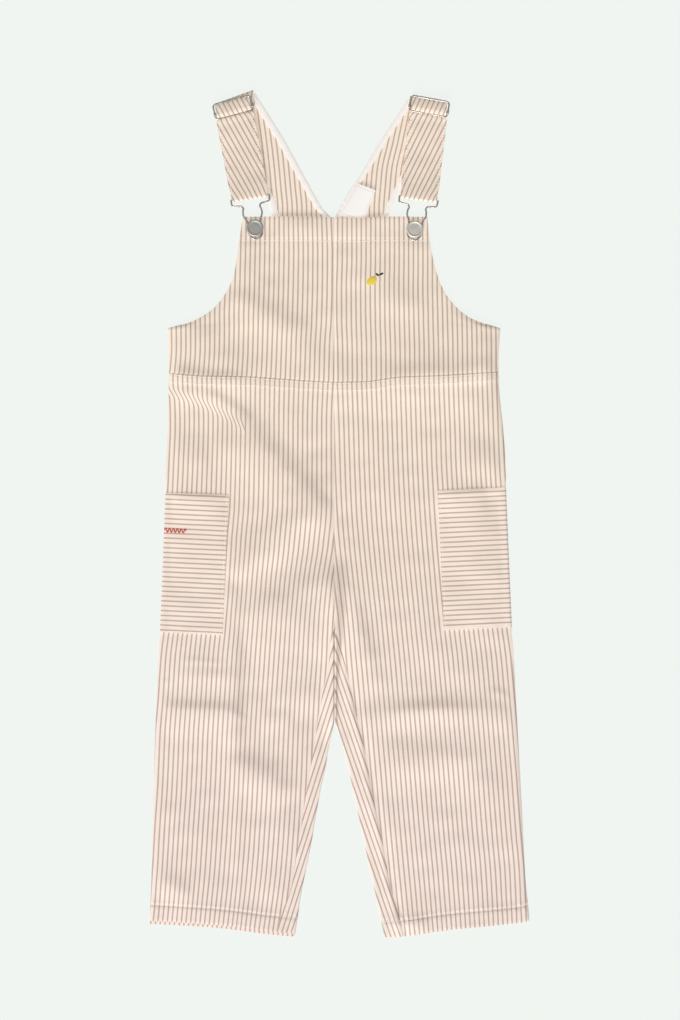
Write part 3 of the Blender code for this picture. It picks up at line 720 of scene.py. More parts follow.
def world(side, out, y, z):
    """World points from distances out from the centre seam."""
    return np.stack([CENTRE_X + side.sign * out, y, z + 0 * out], axis=-1)


# Materials -------------------------------------------------------------------------------------


class Value:
    """A number, vector or colour on its way through a material. Sums on it add Math nodes."""

    def __init__(self, finish, socket):
        self.finish = finish
        self.socket = socket

    def math(self, operation, *others):
        settings = {"operation": operation}
        return self.finish.node("ShaderNodeMath", settings, dict(enumerate((self, *others))))

    def __add__(self, other):
        return self.math("ADD", other)

    def __sub__(self, other):
        return self.math("SUBTRACT", other)

    def __rsub__(self, other):
        settings = {"operation": "SUBTRACT"}
        return self.finish.node("ShaderNodeMath", settings, {0: other, 1: self})

    def __mul__(self, other):
        return self.math("MULTIPLY", other)

    def __truediv__(self, other):
        return self.math("DIVIDE", other)

    def fract(self):
        return self.math("FRACT")

    def sine(self):
        return self.math("SINE")

    def size(self):
        return self.math("ABSOLUTE")

    def ramp(self, low, high):
        """0 at low, 1 at high, smooth between them."""
        settings = {"interpolation_type": "SMOOTHSTEP"}
        values = {"Value": self, "From Min": low, "From Max": high}
        return self.finish.node("ShaderNodeMapRange", settings, values)

    __radd__ = __add__
    __rmul__ = __mul__


class Finish:
    """A material being made."""

    def __init__(self, name, **uniform):
        self.material = bpy.data.materials.new(name)
        self.material.use_nodes = True
        self.tree = self.material.node_tree
        self.shader = self.tree.nodes["Principled BSDF"]
        for socket, value in uniform.items():
            self.shader.inputs[socket.replace("_", " ")].default_value = value

    def node(self, kind, settings=None, values=None, output=0):
        """Adds a node: its settings first, then its sockets' values or links."""
        made = self.tree.nodes.new(kind)
        for name, value in (settings or {}).items():
            setattr(made, name, value)
        for name, value in (values or {}).items():
            self.feed(made.inputs[name], value)
        return Value(self, made.outputs[output])

    def feed(self, socket, value):
        if isinstance(value, Value):
            self.tree.links.new(value.socket, socket)
        else:
            socket.default_value = value

    def grain(self):
        """The place in the flat cloth: across and along, in metres."""
        place = self.node("ShaderNodeUVMap", {"uv_map": "grain"}, output="UV")
        across = self.node("ShaderNodeSeparateXYZ", {}, {0: place}, "X")
        along = self.node("ShaderNodeSeparateXYZ", {}, {0: place}, "Y")
        return across, along

    def place(self):
        """The place in the frame, in metres."""
        return self.node("ShaderNodeTexCoord", output="Object")

    def vector(self, x, y):
        return self.node("ShaderNodeCombineXYZ", {}, {"X": x, "Y": y})

    def noise(self, at, scale, detail=2.0):
        """Soft noise from 0 to 1: scale is its number of lumps to a unit of the place."""
        values = {"Vector": at, "Scale": scale, "Detail": detail}
        return self.node("ShaderNodeTexNoise", {"noise_dimensions": "3D"}, values, "Fac")

    def mix(self, share, first, second):
        """A colour between two colours."""
        values = {"Factor": share, 6: first, 7: second}
        return self.node("ShaderNodeMix", {"data_type": "RGBA"}, values, 2)

    def tinted(self, first, tint):
        """A colour multiplied by another."""
        settings = {"data_type": "RGBA", "blend_type": "MULTIPLY"}
        return self.node("ShaderNodeMix", settings, {"Factor": 1.0, 6: first, 7: tint}, 2)

    def bump(self, height, strength, distance):
        """Relief too fine for the mesh."""
        values = {"Height": height, "Strength": strength, "Distance": distance}
        self.feed(self.shader.inputs["Normal"], self.node("ShaderNodeBump", {}, values, "Normal"))

    def show(self, socket, value):
        self.feed(self.shader.inputs[socket], value)


def colour(red, green, blue):
    """A colour from the 0 to 255 values that a screen shows, as the linear ones of a shader."""
    shown = np.array([red, green, blue]) / 255
    linear = np.where(shown <= 0.04045, shown / 12.92, ((shown + 0.055) / 1.055) ** 2.4)
    return (*linear.tolist(), 1.0)


GROUND = colour(245, 231, 224)
GROUND_WARM = colour(241, 225, 216)
STRIPE = colour(176, 151, 134)
STRIPE_PALE = colour(200, 178, 164)
COOLER = colour(255, 255, 255)
WARMER = colour(254, 255, 248)
STRAP_TINT = colour(247, 247, 240)


def twill_lines(across, along):
    """The fine slanting ribs of a twill, from 0 to 1: a triangle wave across a diagonal."""
    return (((across + along * 0.9) / TWILL_RIB).fract() - 0.5).size() * 2


def striped_twill(name, warm, cool):
    """Cotton twill with yarn-dyed stripes: a soft-edged band in each pitch across the grain.

    The cloth is warmer towards the bib and cooler towards the hems.
    """
    finish = Finish(name, Sheen_Weight=0.15, Sheen_Roughness=0.5, Specular_IOR_Level=0.2)
    across, along = finish.grain()
    yarn = finish.vector(across * 1400, along * 160)
    wander = finish.noise(finish.vector(across * 90, along * 30), 1.0)
    wide = finish.noise(finish.place(), 22.0)
    speck = finish.noise(yarn, 1.0, 3.0)
    ribs = twill_lines(across, along)
    line = (across / STRIPE_PITCH + (wander - 0.5) * 0.10).fract()
    off = (line - 0.5).size()
    band = 1 - off.ramp(0.115, 0.195)
    dyed = band * (0.80 + ribs * 0.16 + (speck - 0.5) * 0.5)
    ground = finish.mix(wide, GROUND, GROUND_WARM)
    ground = finish.mix(speck.ramp(0.50, 0.85) * 0.10, ground, STRIPE_PALE)
    tan = finish.mix(speck.ramp(0.35, 0.75), STRIPE, STRIPE_PALE)
    height = finish.node("ShaderNodeSeparateXYZ", {}, {0: finish.place()}, "Y")
    tint = finish.mix(height.ramp(-0.34, 0.24), cool, warm)
    finish.show("Base Color", finish.tinted(finish.mix(dyed, ground, tan), tint))
    finish.show("Roughness", 0.80 + speck * 0.12)
    finish.bump(ribs * 0.6 + speck * 0.6 + band * 0.15, 0.45, 0.00012)
    return finish.material


def white_tape():
    """Narrow woven tape: fine ribs across its length."""
    finish = Finish("white tape", Sheen_Weight=0.10, Specular_IOR_Level=0.2)
    across, along = finish.grain()
    ribs = (along * (2 * math.pi / TAPE_RIB)).sine()
    threads = finish.noise(finish.vector(across * 1800, along * 700), 1.0, 2.0)
    finish.show("Base Color", finish.mix(threads, colour(250, 246, 243), colour(236, 229, 224)))
    finish.show("Roughness", 0.75 + threads * 0.15)
    finish.bump(ribs * 0.3 + threads * 0.5, 0.4, 0.00012)
    return finish.material


def border_line(place):
    """0 along a line beside both ends of a place that goes from 0 to 1, and 1 off it."""
    off = (place - 0.5).size()
    return 1 - off.ramp(0.40, 0.42) * (1 - off.ramp(0.43, 0.45))


def label_satin():
    """Blank woven label with a plain raised border woven in."""
    finish = Finish("label satin", Sheen_Weight=0.15, Specular_IOR_Level=0.35)
    across, along = finish.grain()
    threads = finish.noise(finish.vector(across * 2600, along * 300), 1.0, 2.0)
    white = finish.mix(threads, colour(250, 248, 246), colour(238, 234, 230))
    border = (1 - border_line(across) * border_line(along)) * 0.35
    finish.show("Base Color", finish.mix(border, white, colour(205, 197, 188)))
    finish.show("Roughness", 0.48 + threads * 0.18)
    finish.bump(threads + border, 0.3, 0.0001)
    return finish.material


def thread(name, pale, deep, sheen=0.2):
    """Twisted sewing thread: fine slanting bands along it."""
    finish = Finish(name, Sheen_Weight=sheen, Specular_IOR_Level=0.3)
    across, along = finish.grain()
    twist = ((along + across * 0.4) * (2 * math.pi / THREAD_TWIST)).sine() * 0.5 + 0.5
    patch = finish.noise(finish.place(), 900.0)
    finish.show("Base Color", finish.mix(twist * 0.5 + patch * 0.5, pale, deep))
    finish.show("Roughness", 0.55 + patch * 0.2)
    finish.bump(twist, 0.5, 0.0001)
    return finish.material


def plated_wire():
    """Nickel-plated wire: drawing lines along it and dull patches where it has rubbed."""
    finish = Finish("plated wire", Metallic=0.7)
    across, along = finish.grain()
    drawn = finish.noise(finish.vector(across * 6000, along * 60), 1.0, 3.0)
    rubbed = finish.noise(finish.place(), 260.0, 3.0).ramp(0.45, 0.70)
    finish.show("Base Color", finish.mix(rubbed, colour(168, 165, 160), colour(198, 195, 190)))
    finish.show("Roughness", 0.24 + rubbed * 0.16 + drawn * 0.10)
    finish.bump(drawn, 0.25, 0.00008)
    return finish.material


def button_metal(name, deep, pale):
    """Dull pewter finish: a fine grain with a few darker clouds."""
    finish = Finish(name, Metallic=0.75)
    place = finish.place()
    grain = finish.noise(place, 3500.0, 2.0)
    cloud = finish.noise(place, 240.0, 3.0)
    finish.show("Base Color", finish.mix(cloud, deep, pale))
    finish.show("Roughness", 0.42 + grain * 0.16 + cloud * 0.08)
    finish.bump(grain, 0.25, 0.00006)
    return finish.material


TWILL = striped_twill("striped twill", WARMER, COOLER)
STRAP_TWILL = striped_twill("strap twill", STRAP_TINT, STRAP_TINT)
TAPE = white_tape()
SATIN = label_satin()
METAL_WIRE = plated_wire()
# Both buttons are one pewter: the left one's colours are darkened as painted shade, the right
# one's lightened as painted light.
PEWTER = {
    "left": button_metal("pewter in painted shade", colour(168, 166, 162), colour(192, 190, 185)),
    "right": button_metal("pewter in painted light", colour(204, 201, 192), colour(226, 222, 212)),
}
CREAM_THREAD = thread("cream thread", colour(255, 247, 238), colour(240, 226, 212))
RED_THREAD = thread("red thread", colour(222, 92, 72), colour(186, 52, 40), 0.3)
YELLOW_THREAD = thread("yellow thread", colour(236, 218, 92), colour(214, 188, 52), 0.3)
LEAF_THREAD = thread("leaf thread", colour(52, 56, 50), colour(24, 28, 26), 0.3)


# Bib and legs ----------------------------------------------------------------------------------


def drifted(side, table, out, y, share):
    """The place across the flat cloth: out, less the drift between the two edges' columns."""
    inner = read_table(table, side.name + "_inner", y / MM) * MM
    outer = read_table(table, side.name + "_outer", y / MM) * MM
    return out - inner * (1 - share) - outer * share


def waist_shift(side, out, level):
    """How far a level line near the waist is moved to follow the waist seam."""
    seam = waist_height(side, out) - WAIST_Y
    return seam * (1 - fade(np.abs(level - WAIST_Y), 0.0, WAIST_REACH))


# Where the bib's top edge sags: the middle of each dip, its width and its depth.
Dip = namedtuple("Dip", "x width depth")
TOP_DIPS = (Dip(0.018, 0.014, 0.0016), Dip(-0.012, 0.008, 0.0008))


def top_dip(side, out):
    """How far the bib's top edge sags where the label pushes it, beside the centre seam."""
    x = CENTRE_X + side.sign * out
    return -sum(dip.depth * bell(x - dip.x, dip.width) for dip in TOP_DIPS)


def bib_z(side, out, y):
    """Height of the bib: the front's, with grooves and small rolls along its seams and edges.

    The hem is a low band under the top edge with a groove at its stitches. The centre and waist
    seams are grooves, the armhole dips at its edge, and the side seam rolls down to the back.
    """
    below_top = BIB_TOP_Y - y
    hem = BIB_HEM_RISE * fade(-np.abs(below_top - BIB_HEM / 2), -0.012, -0.009)
    line = seam_groove(below_top - BIB_HEM, BIB_HEM_GROOVE, 0.0010)
    rolled = -BIB_EDGE_ROLL * bell(below_top, 0.0012)
    arm = np.where(y > UNDERARM_Y + 0.001, bell(outer_edge(side, y) - out, 0.0014), 0.0)
    z = FRONT_Z + front_lift(side, out, y) + hem + line + rolled - ARM_EDGE_ROLL * arm
    z = z + seam_groove(out, CENTRE_GROOVE, 0.0010) + CENTRE_SWELL * bell(out - 0.0035, 0.0030)
    z = z + seam_groove(y - waist_height(side, out), WAIST_GROOVE, 0.0012)
    inside = np.where(y < UNDERARM_Y, outer_edge(side, y) - out, 1.0)
    return z - side_drop(inside, FRONT_Z - BACK_Z - WALL)


def make_bib(side, trims):
    """Half of the bib: columns out from the centre seam, rows down to the waist seam.

    A row above the underarm ends at the armhole, one below it at the side seam.
    """
    tall = BIB_TOP_Y - WAIST_Y
    levels = BIB_TOP_Y - stations(tall, 0.004, 0.008) * tall
    u, level = grid(stations(0.150, 0.008, 0.008), levels)
    out = outer_edge(side, level) * u
    y = level + waist_shift(side, out, level)
    y = y + top_dip(side, out) * fade(level, 0.270, BIB_TOP_Y)
    points = world(side, out, y, bib_z(side, out, y))
    across = drifted(side, BIB_DRIFT_MM, out, y, u)
    name = "bib_cloth_" + side.name
    nodes = ("bib_" + side.name,)
    grain = np.stack([across, y], axis=-1)
    return cloth(name, points, grain, TWILL, nodes)


def leg_height(side, out, level):
    """The height of a level line, bent to the waist seam at the top and to the hem at the foot."""
    hem = read_table(HEM_FRONT, side.name, out) - HEM_Y
    return level + waist_shift(side, out, level) + hem * fade(-level, -HEM_REACH_Y, -HEM_Y)


def hem_relief(side, out, above_edge):
    """A hem: its fold stands a little proud, with a groove and slanting ripples at the stitches.

    The fold is a step up on the leg's side and fades out past the edge. The ripples are strongest
    by the stitches and at the edge, and die away from both as bells.
    """
    rope = pucker(out + above_edge * 0.45, HEM_RIPPLE[side.name])
    band = fade(above_edge, -0.016, 0.002) * (1 - fade(above_edge, 0.010, 0.024))
    edge = -HEM_EDGE_ROLL * bell(above_edge, 0.0012)
    line = seam_groove(above_edge - HEM_DEPTH, HEM_GROOVE, 0.0012)
    near = bell(above_edge - HEM_DEPTH, 0.0045) + 0.7 * bell(above_edge, 0.0040)
    return HEM_RISE * band + edge + line + HEM_RIPPLE_HEIGHT * rope * near


def inseam_step(side, out, y, outer):
    """The inner seam: the cloth falls across it, and has a groove along it.

    The fall is the distance from the seam times a bell of it, deep on the right leg and slight on
    the left. The front leg has the groove all the way, and the back leg from the crotch down.
    """
    from_seam = out - read_table(INSEAM, side.name, y)
    deep = INSEAM_SHARE[side.name] * fade(-y, 0.130, 0.200)
    fall = INSEAM_FALL * from_seam * bell(from_seam, 0.0046)
    groove = INSEAM_GROOVE["front"] if outer else INSEAM_GROOVE["back"] * fade(-y, 0.112, 0.140)
    return -deep * fall - groove * bell(from_seam, 0.0013)


def leg_z(side, out, y):
    """Height of a leg: the front's, with the waist seam's fold, the hem and the inner seam.

    The fold is a low band below the waist seam, which dips at the seam itself and has a groove at
    its first stitches. The side seam rolls down to the back, or to the layer under the pocket.
    """
    below_waist = waist_height(side, out) - y
    fold = WAIST_FOLD * fade(below_waist, -0.0001, 0.0008)
    fold = fold * (1 - fade(below_waist, 0.0070, 0.0125))
    fold = fold - WAIST_DIP * (1 - fade(below_waist, -0.0002, 0.0014))
    line = seam_groove(below_waist - 0.0018, WAIST_STITCH_GROOVE, 0.0007)
    seam = inseam_step(side, out, y, outer=True)
    hem = hem_relief(side, out, y - read_table(HEM_FRONT, side.name, out))
    z = FRONT_Z + front_lift(side, out, y) + fold + line + seam + hem
    inside = read_table(SIDE_SEAM, side.name, y) - tuck(y) - out
    drop = FRONT_Z - BACK_Z - WALL - LAYER * by_pocket(out, y)
    return z - side_drop(inside, drop)


def leg_level(v):
    """The level line that a row of a leg follows, from the waist to the hem."""
    return WAIST_Y + (HEM_Y - WAIST_Y) * v


def tuck_slip(side, out, y):
    """How far the cloth has slipped across below the tuck at the left hip.

    The tuck's line is a parabola from the side seam inwards and down. It takes a little more than
    one stripe, and exactly one at its inner end, so that past it the stripes match again.
    """
    inside = np.clip(TUCK_START - out, 0.0, 1.0)
    tuck_y = TUCK_START_Y - TUCK_SLOPE * inside - TUCK_BEND * inside**2
    depth = STRIPE_PITCH + (TUCK_DEPTH - STRIPE_PITCH) * fade(out, TUCK_END, TUCK_FULL)
    slip = depth * fade(tuck_y - y, -0.004, 0.008)
    quads = (out[:-1, :-1] + out[1:, 1:]) / 2 > TUCK_END
    return slip, quads & (side is LEFT)


def make_leg_front(side, trims):
    """Front of one leg: columns from the centre seam and the inseam out to the side seam."""
    length = WAIST_Y - HEM_Y
    v = stations(length, 0.012, 0.022, FINE / 2)
    u, level = grid(stations(0.150, 0.010, 0.010), leg_level(v))
    inner = read_table(INSEAM, side.name, level)
    outer = read_table(SIDE_SEAM, side.name, level) - tuck(level)
    y = leg_height(side, inner + (outer - inner) * u, level)
    inner = read_table(INSEAM, side.name, y)
    outer = read_table(SIDE_SEAM, side.name, y) - tuck(y)
    out = inner + (outer - inner) * u
    points = world(side, out, y, leg_z(side, out, y))
    across = drifted(side, LEG_DRIFT_MM, out, y, u)
    grain = np.stack([across, y], axis=-1)
    name = "leg_front_cloth_" + side.name
    nodes = ("leg_front_" + side.name,)
    slip = tuck_slip(side, out, y)
    return cloth(name, points, grain, TWILL, nodes, slip=slip)


# Backs -----------------------------------------------------------------------------------------


def back_lift(x, y):
    """Low creases of the back, which lies on the floor under the front."""
    low = 0.5 + 0.5 * rumple(x, y, BACK_RUMPLE)
    creases = crease_height(x / MM, y / MM, BACK_CREASES_MM)
    height = creases + BACK_RUMPLE_HEIGHT * np.clip(low, 0.0, 2.0)
    return np.clip(height, 0.0, BACK_HIGHEST)


LEG_TURN = (FRONT_Z - BACK_Z) / 2
WRAP_TOP_Y = -0.1120
WRAP_SLANT = {"left": 0.315, "right": 0.344}
WRAP_START = 0.0010
FOLD_INSET = 0.0002
HEM_ROWS = 0.020
HAIR = 0.0001


def make_leg_back(side):
    """Back of one leg. Below the crotch it turns round the inner leg and up to the inseam.

    Columns run in from the side seam, then round a half circle, then out to the inseam. The part
    on top starts a little lower at the crotch, under the front.
    """
    columns = np.concatenate(
        [np.linspace(0, 1, 42)[:-1], np.linspace(1, 2, 11)[:-1], np.linspace(2, 3, 13)]
    )
    above = np.linspace(WAIST_Y, WRAP_TOP_Y, 62)[:-1]
    below = np.linspace(WRAP_TOP_Y, HEM_Y + HEM_ROWS, 92)[:-1]
    hem = np.linspace(HEM_Y + HEM_ROWS, HEM_Y, 15)
    u, level = grid(columns, np.concatenate([above, below, hem]))
    flat = np.clip(u, 0.0, 1.0)
    turn = np.clip(u - 1, 0.0, 1.0)
    wrap = np.clip(u - 2, 0.0, 1.0)
    after_crotch = level < WRAP_TOP_Y + HAIR

    def distance(y):
        """Out from the centre seam: from the side seam to the fold, round it, to the inseam."""
        side_edge = read_table(SIDE_SEAM, side.name, y) - tuck(y)
        fold = read_table(INNER_FOLD, side.name, y) + LEG_TURN + WALL / 2 - FOLD_INSET
        centre = np.where(after_crotch, fold, 0.0)
        inseam = read_table(INSEAM, side.name, y)
        along = side_edge + (centre - side_edge) * flat
        along = along - LEG_TURN * np.sin(np.pi * turn) * (turn > 0)
        return along + np.maximum(inseam - fold, LEG_TURN * -0.98) * wrap

    drop = HEM_BACK_DROP[side.name] * fade(-level, -HEM_REACH_Y, -HEM_Y) * (1 - turn)
    y = leg_height(side, distance(level), level) - drop
    out = distance(y)
    x = CENTRE_X + side.sign * out
    edge_y = read_table(HEM_FRONT, side.name, out)
    hem = hem_relief(side, out, y - edge_y + drop)
    by = by_pocket(out, y)
    flat_z = BACK_Z + LAYER * by + back_lift(x, y) * (1 - by) + 0.4 * np.abs(hem)
    inner = inseam_step(side, out, y, outer=False)
    on_top = FRONT_Z - BACK_Z - 2 * LEG_TURN + front_lift(side, out, y) + inner + hem
    on_top = on_top - WRAP_START * (1 - fade(-y, -WRAP_TOP_Y, 0.0135 - WRAP_TOP_Y))
    round_z = BACK_Z + (LEG_TURN + on_top / 2) * (1 - np.cos(np.pi * turn))
    points = world(side, out, y, np.where(turn > 0, round_z, flat_z))
    flat_across = drifted(side, BACK_DRIFT_MM, out, y, 1 - flat)
    across = np.where(turn > 0, -out - WRAP_SLANT[side.name] * y, flat_across)
    grain = np.stack([across, y], axis=-1)
    keep = (u[:-1, 1:] < 1 + HAIR) | after_crotch[:-1, 1:]
    name = "leg_back_cloth_" + side.name
    nodes = ("leg_back_" + side.name,)
    return cloth(name, points, grain, TWILL, nodes, keep=keep)


def back_rows(side):
    """The rows of the strap, then those of the bodice, as one array."""
    return np.array(STRAP_ROWS[side.name] + BODICE_ROWS, float)


def back_point(side, u, v):
    """Out and y on the back, straight between its rows.

    u goes from the neck edge to the arm edge, and v from the first row to the last, which
    follows the waist seam.
    """
    rows = back_rows(side)
    steps = np.linspace(0.0, 1.0, len(rows))
    neck_out, neck_y, arm_out, arm_y = (np.interp(v, steps, column) for column in rows.T)
    out = neck_out + (arm_out - neck_out) * u
    y = neck_y + (arm_y - neck_y) * u
    return out, np.where(v > 1 - HAIR, waist_height(side, out), y)


def back_z(side, out, y):
    """Height of the back: low creases, lower on the straps, and a groove down the centre seam."""
    x = CENTRE_X + side.sign * out
    low = back_lift(x, y) * (1 - 0.7 * fade(y, 0.300, 0.340))
    return BACK_Z + low + seam_groove(np.where(y < 0.290, out, 1.0), BACK_GROOVE, 0.0012)


def make_back(side, trims):
    """Half of the back with its shoulder strap, cut in one, from the strap's end to the waist."""
    count = len(back_rows(side))
    v = np.unique(np.concatenate([np.linspace(0, 1, count), np.linspace(0, 1, 110)]))
    u, v = grid(np.linspace(0, 1, 26), v)
    out, y = back_point(side, u, v)
    points = world(side, out, y, back_z(side, out, y))
    across = drifted(side, BACK_DRIFT_MM, out, y, u)
    grain = np.stack([across, y], axis=-1)
    name = "back_cloth_" + side.name
    nodes = ("back_" + side.name,)
    return cloth(name, points, grain, TWILL, nodes)


def make_tape(side, at_neck):
    """A tape on the inside of the back along one edge, made from the back's own points.

    It crowns a little and stands a thread's breadth over the edge of the cloth.
    """
    rows = back_rows(side)
    steps = np.linspace(0.0, 1.0, len(rows))
    edge_y = rows[:, 1] if at_neck else rows[:, 3]
    end = np.interp(-TAPE_END_Y, -edge_y, steps)
    u, v = grid(np.linspace(0, 1, 11) ** 1.5, np.linspace(0, end, 90))
    neck_out, neck_y, arm_out, arm_y = (np.interp(v, steps, column) for column in rows.T)
    width = np.hypot(arm_out - neck_out, arm_y - neck_y)
    over = TAPE_OVER / width
    from_edge = (TAPE_SHOWN[side.name] / width + over) * u - over
    across = from_edge if at_neck else 1 - from_edge
    out, y = back_point(side, across, v)
    crown = TAPE_CROWN * (1 - (2 * u - 1) ** 2)
    edge = -TAPE_EDGE_ROLL * (1 - fade(u, 0.0, 0.20))
    along = np.hypot(np.gradient(out, axis=0), np.gradient(y, axis=0)).cumsum(axis=0)
    ripple = TAPE_RIPPLE_HEIGHT * pucker(along, TAPE_RIPPLE[side.name])
    z = back_z(side, out, y) + TAPE_OVER_BACK + crown + edge + ripple
    points = world(side, out, y, z)
    grain = np.stack([TAPE_SHOWN[side.name] * u, along], axis=-1)
    part = "neck" if at_neck else "arm"
    name = part + "_tape_cloth_" + side.name
    nodes = (part + "_tape_" + side.name,)
    return cloth(name, points, grain, TAPE, nodes, wall=TAPE_WALL)


# The label's corners, clockwise from the top left.
LABEL_CORNERS = ((0.0180, 0.3300), (0.0362, 0.3226), (0.0235, 0.2905), (-0.0010, 0.2985))


def make_label():
    """The blank label: a straight-sided patch between four corners, bowed at its free end.

    Its height is half a sine wave across that fades from the free end, with one corner lifted,
    and it sinks where it goes in under the bib.
    """
    corners = np.array(LABEL_CORNERS)[:, None, None, :]
    u, v = grid(np.linspace(0, 1, 14), np.linspace(0, 1, 22))
    top = corners[0] * (1 - u[..., None]) + corners[1] * u[..., None]
    foot = corners[3] * (1 - u[..., None]) + corners[2] * u[..., None]
    flat = top * (1 - v[..., None]) + foot * v[..., None]
    x, y = flat[..., 0], flat[..., 1]
    sunk = LABEL_SINK * (1 - fade(y, 0.290, 0.300))
    z = BACK_Z + 2 * LAYER - sunk + LABEL_BOW * np.sin(np.pi * u) * (1 - v)
    z = z + LABEL_LIFT * u * (1 - v) ** 2
    points = np.stack([x, y, z], axis=-1)
    grain = np.stack([u, v], axis=-1)
    nodes = ("neck_label",)
    return cloth("label_cloth", points, grain, SATIN, nodes, wall=LABEL_WALL)


# Pockets ---------------------------------------------------------------------------------------

POCKET_TURN = (POCKET_Z - BACK_Z) / 2
POCKET_WIDE = 0.065
POCKET_TALL = 0.140
POCKET_MOUTH_WIDE = 0.067
POCKET_MOUTH_OUT = 0.172
POCKET_FOOT_OUT = 0.176
POCKET_BARE_SIDE = 0.0007
POCKET_BARE_FOOT = 0.0014
POCKET_SLANT = 0.045
POCKET_SPREAD = {"left": 0.992, "right": 0.986}
POCKET_PHASE = {"left": 0.0004, "right": 0.0020}


def pocket_z(side, out, y):
    """Height of a pocket's front: it crowns between its edges, which are stitched down.

    The edges are rounded off and have a groove at their stitches, and the mouth has a hem.
    """
    inner = out - read_table(POCKET_EDGE, side.name, y)
    top = read_table(POCKET_TOP, side.name, out) - y
    foot = y - read_table(POCKET_BOTTOM, side.name, out)
    outer = read_table(SIDE_SEAM, side.name, y) - out
    near = np.minimum(np.minimum(inner, foot), 0.030)
    crown = POCKET_CROWN * fade(near, 0.0, 0.030) * fade(outer, 0.001, 0.014)
    edges = -POCKET_EDGE_ROLL * (bell(inner, 0.0012) + bell(foot, 0.0012))
    edges = edges - POCKET_MOUTH_ROLL * bell(top, 0.0010)
    line = seam_groove(inner - POCKET_STITCH, POCKET_GROOVE, 0.0008)
    line = line + seam_groove(foot - POCKET_STITCH, POCKET_GROOVE, 0.0008)
    mouth = POCKET_HEM_RISE * fade(-np.abs(top - POCKET_HEM_MIDDLE), -0.006, -0.002)
    mouth = mouth + seam_groove(top - POCKET_HEM_LINE, POCKET_HEM_GROOVE, 0.0011)
    x = CENTRE_X + side.sign * out
    small = rumple(x, y, POCKET_RUMPLE) * fade(outer, 0.001, 0.008)
    low = -POCKET_SINK * fade(outer, 0.001, 0.008)
    return POCKET_Z + front_lift(side, out, y) + crown + edges + line + mouth + small + low


def make_pocket(side, trims):
    """A patch that starts on the back of the leg, turns round the side seam and ends in front.

    Columns run out along the back, round a half circle at the side, then in along the front. The
    narrow bands at its inner edge and foot show no stripe, only the plain ground colour.
    """
    in_front = 2 + stations(POCKET_WIDE, 0.006, 0.006)
    columns = np.concatenate([np.linspace(0, 1, 17)[:-1], np.linspace(1, 2, 15)[:-1], in_front])
    u, v = grid(columns, stations(POCKET_TALL, 0.010, 0.008))
    back = np.clip(1 - u, 0.0, 1.0)
    turn = np.clip(u - 1, 0.0, 1.0)
    front = np.clip(u - 2, 0.0, 1.0)
    inward = np.maximum(back, front)
    top = read_table(POCKET_TOP, side.name, POCKET_MOUTH_OUT - POCKET_MOUTH_WIDE * inward)
    bottom = read_table(POCKET_BOTTOM, side.name, POCKET_FOOT_OUT - POCKET_WIDE * inward)
    y = top + (bottom - top) * v
    edge = read_table(SIDE_SEAM, side.name, y) - POCKET_TURN - CLOTH / 2
    inner = read_table(POCKET_EDGE, side.name, y)
    out = edge + (inner - edge) * inward + POCKET_TURN * np.sin(np.pi * turn)
    z = BACK_Z + POCKET_TURN * (1 - np.cos(np.pi * turn))
    rise = pocket_z(side, out, y) - POCKET_Z
    z = z + rise * fade(front, 0.0, 0.12) * (front > 0)
    points = world(side, out, y, z)
    behind = u < 1.5
    level = POCKET_SPREAD[side.name] * y - POCKET_SLANT * np.where(behind, 2 * edge - out, out)
    level = level + POCKET_PHASE[side.name]
    grain = np.stack([level, np.where(behind, -1.0, 1.0) * (edge - out)], axis=-1)
    bare_side = u[:-1, :-1] > 3 - POCKET_BARE_SIDE / POCKET_WIDE
    bare_foot = v[:-1, :-1] > 1 - POCKET_BARE_FOOT / POCKET_TALL
    slip = (-level, bare_side | bare_foot)
    name = "pocket_cloth_" + side.name
    nodes = ("pocket_" + side.name,)
    return cloth(name, points, grain, TWILL, nodes, slip=slip)


# Straps ----------------------------------------------------------------------------------------


def leaning(degrees):
    """Unit vectors across and along a piece turned by this angle."""
    angle = math.radians(degrees)
    across = np.array([math.cos(angle), math.sin(angle)])
    along = np.array([-math.sin(angle), math.cos(angle)])
    return across, along


def metal_lines(side):
    """Centre, across and along vectors of the shoulder turn, the slider and the hook bar."""
    metal = METAL[side.name]
    fold_across, fold_along = leaning(metal.fold_lean)
    slider_across, slider_along = leaning(metal.slider_lean)
    hook_across, hook_along = leaning(metal.hook_lean)
    inner_end = np.array(SHOULDER[side.name])
    fold = inner_end + side.sign * fold_across * STRAP_WIDTH / 2 - fold_along * SHOULDER_REACH
    slider = np.array([metal.slider_x, metal.slider_y])
    hook = np.array([metal.button_x, metal.button_y]) + hook_along * HOOK_BAR_REACH
    return {
        "shoulder": (fold, fold_across, fold_along),
        "slider": (slider, slider_across, slider_along),
        "hook": (hook, hook_across, hook_along),
    }


# How high the strap lies in the slider, by how far it is past the slider's middle.
Through = namedtuple("Through", "past height")
THROUGH_SLIDER = (
    Through(-0.0150, -0.0004),
    Through(-0.0092, 0.0001),
    Through(-0.0074, -0.0004),
    Through(-0.0055, 0.0005),
    Through(-0.0026, 0.0012),
    Through(0.0010, 0.0010),
    Through(0.0056, 0.0002),
    Through(0.0074, -0.0006),
    Through(0.0086, -0.0016),
)
STRAP_PULL = 0.0024
STRAP_SAG = 0.0017


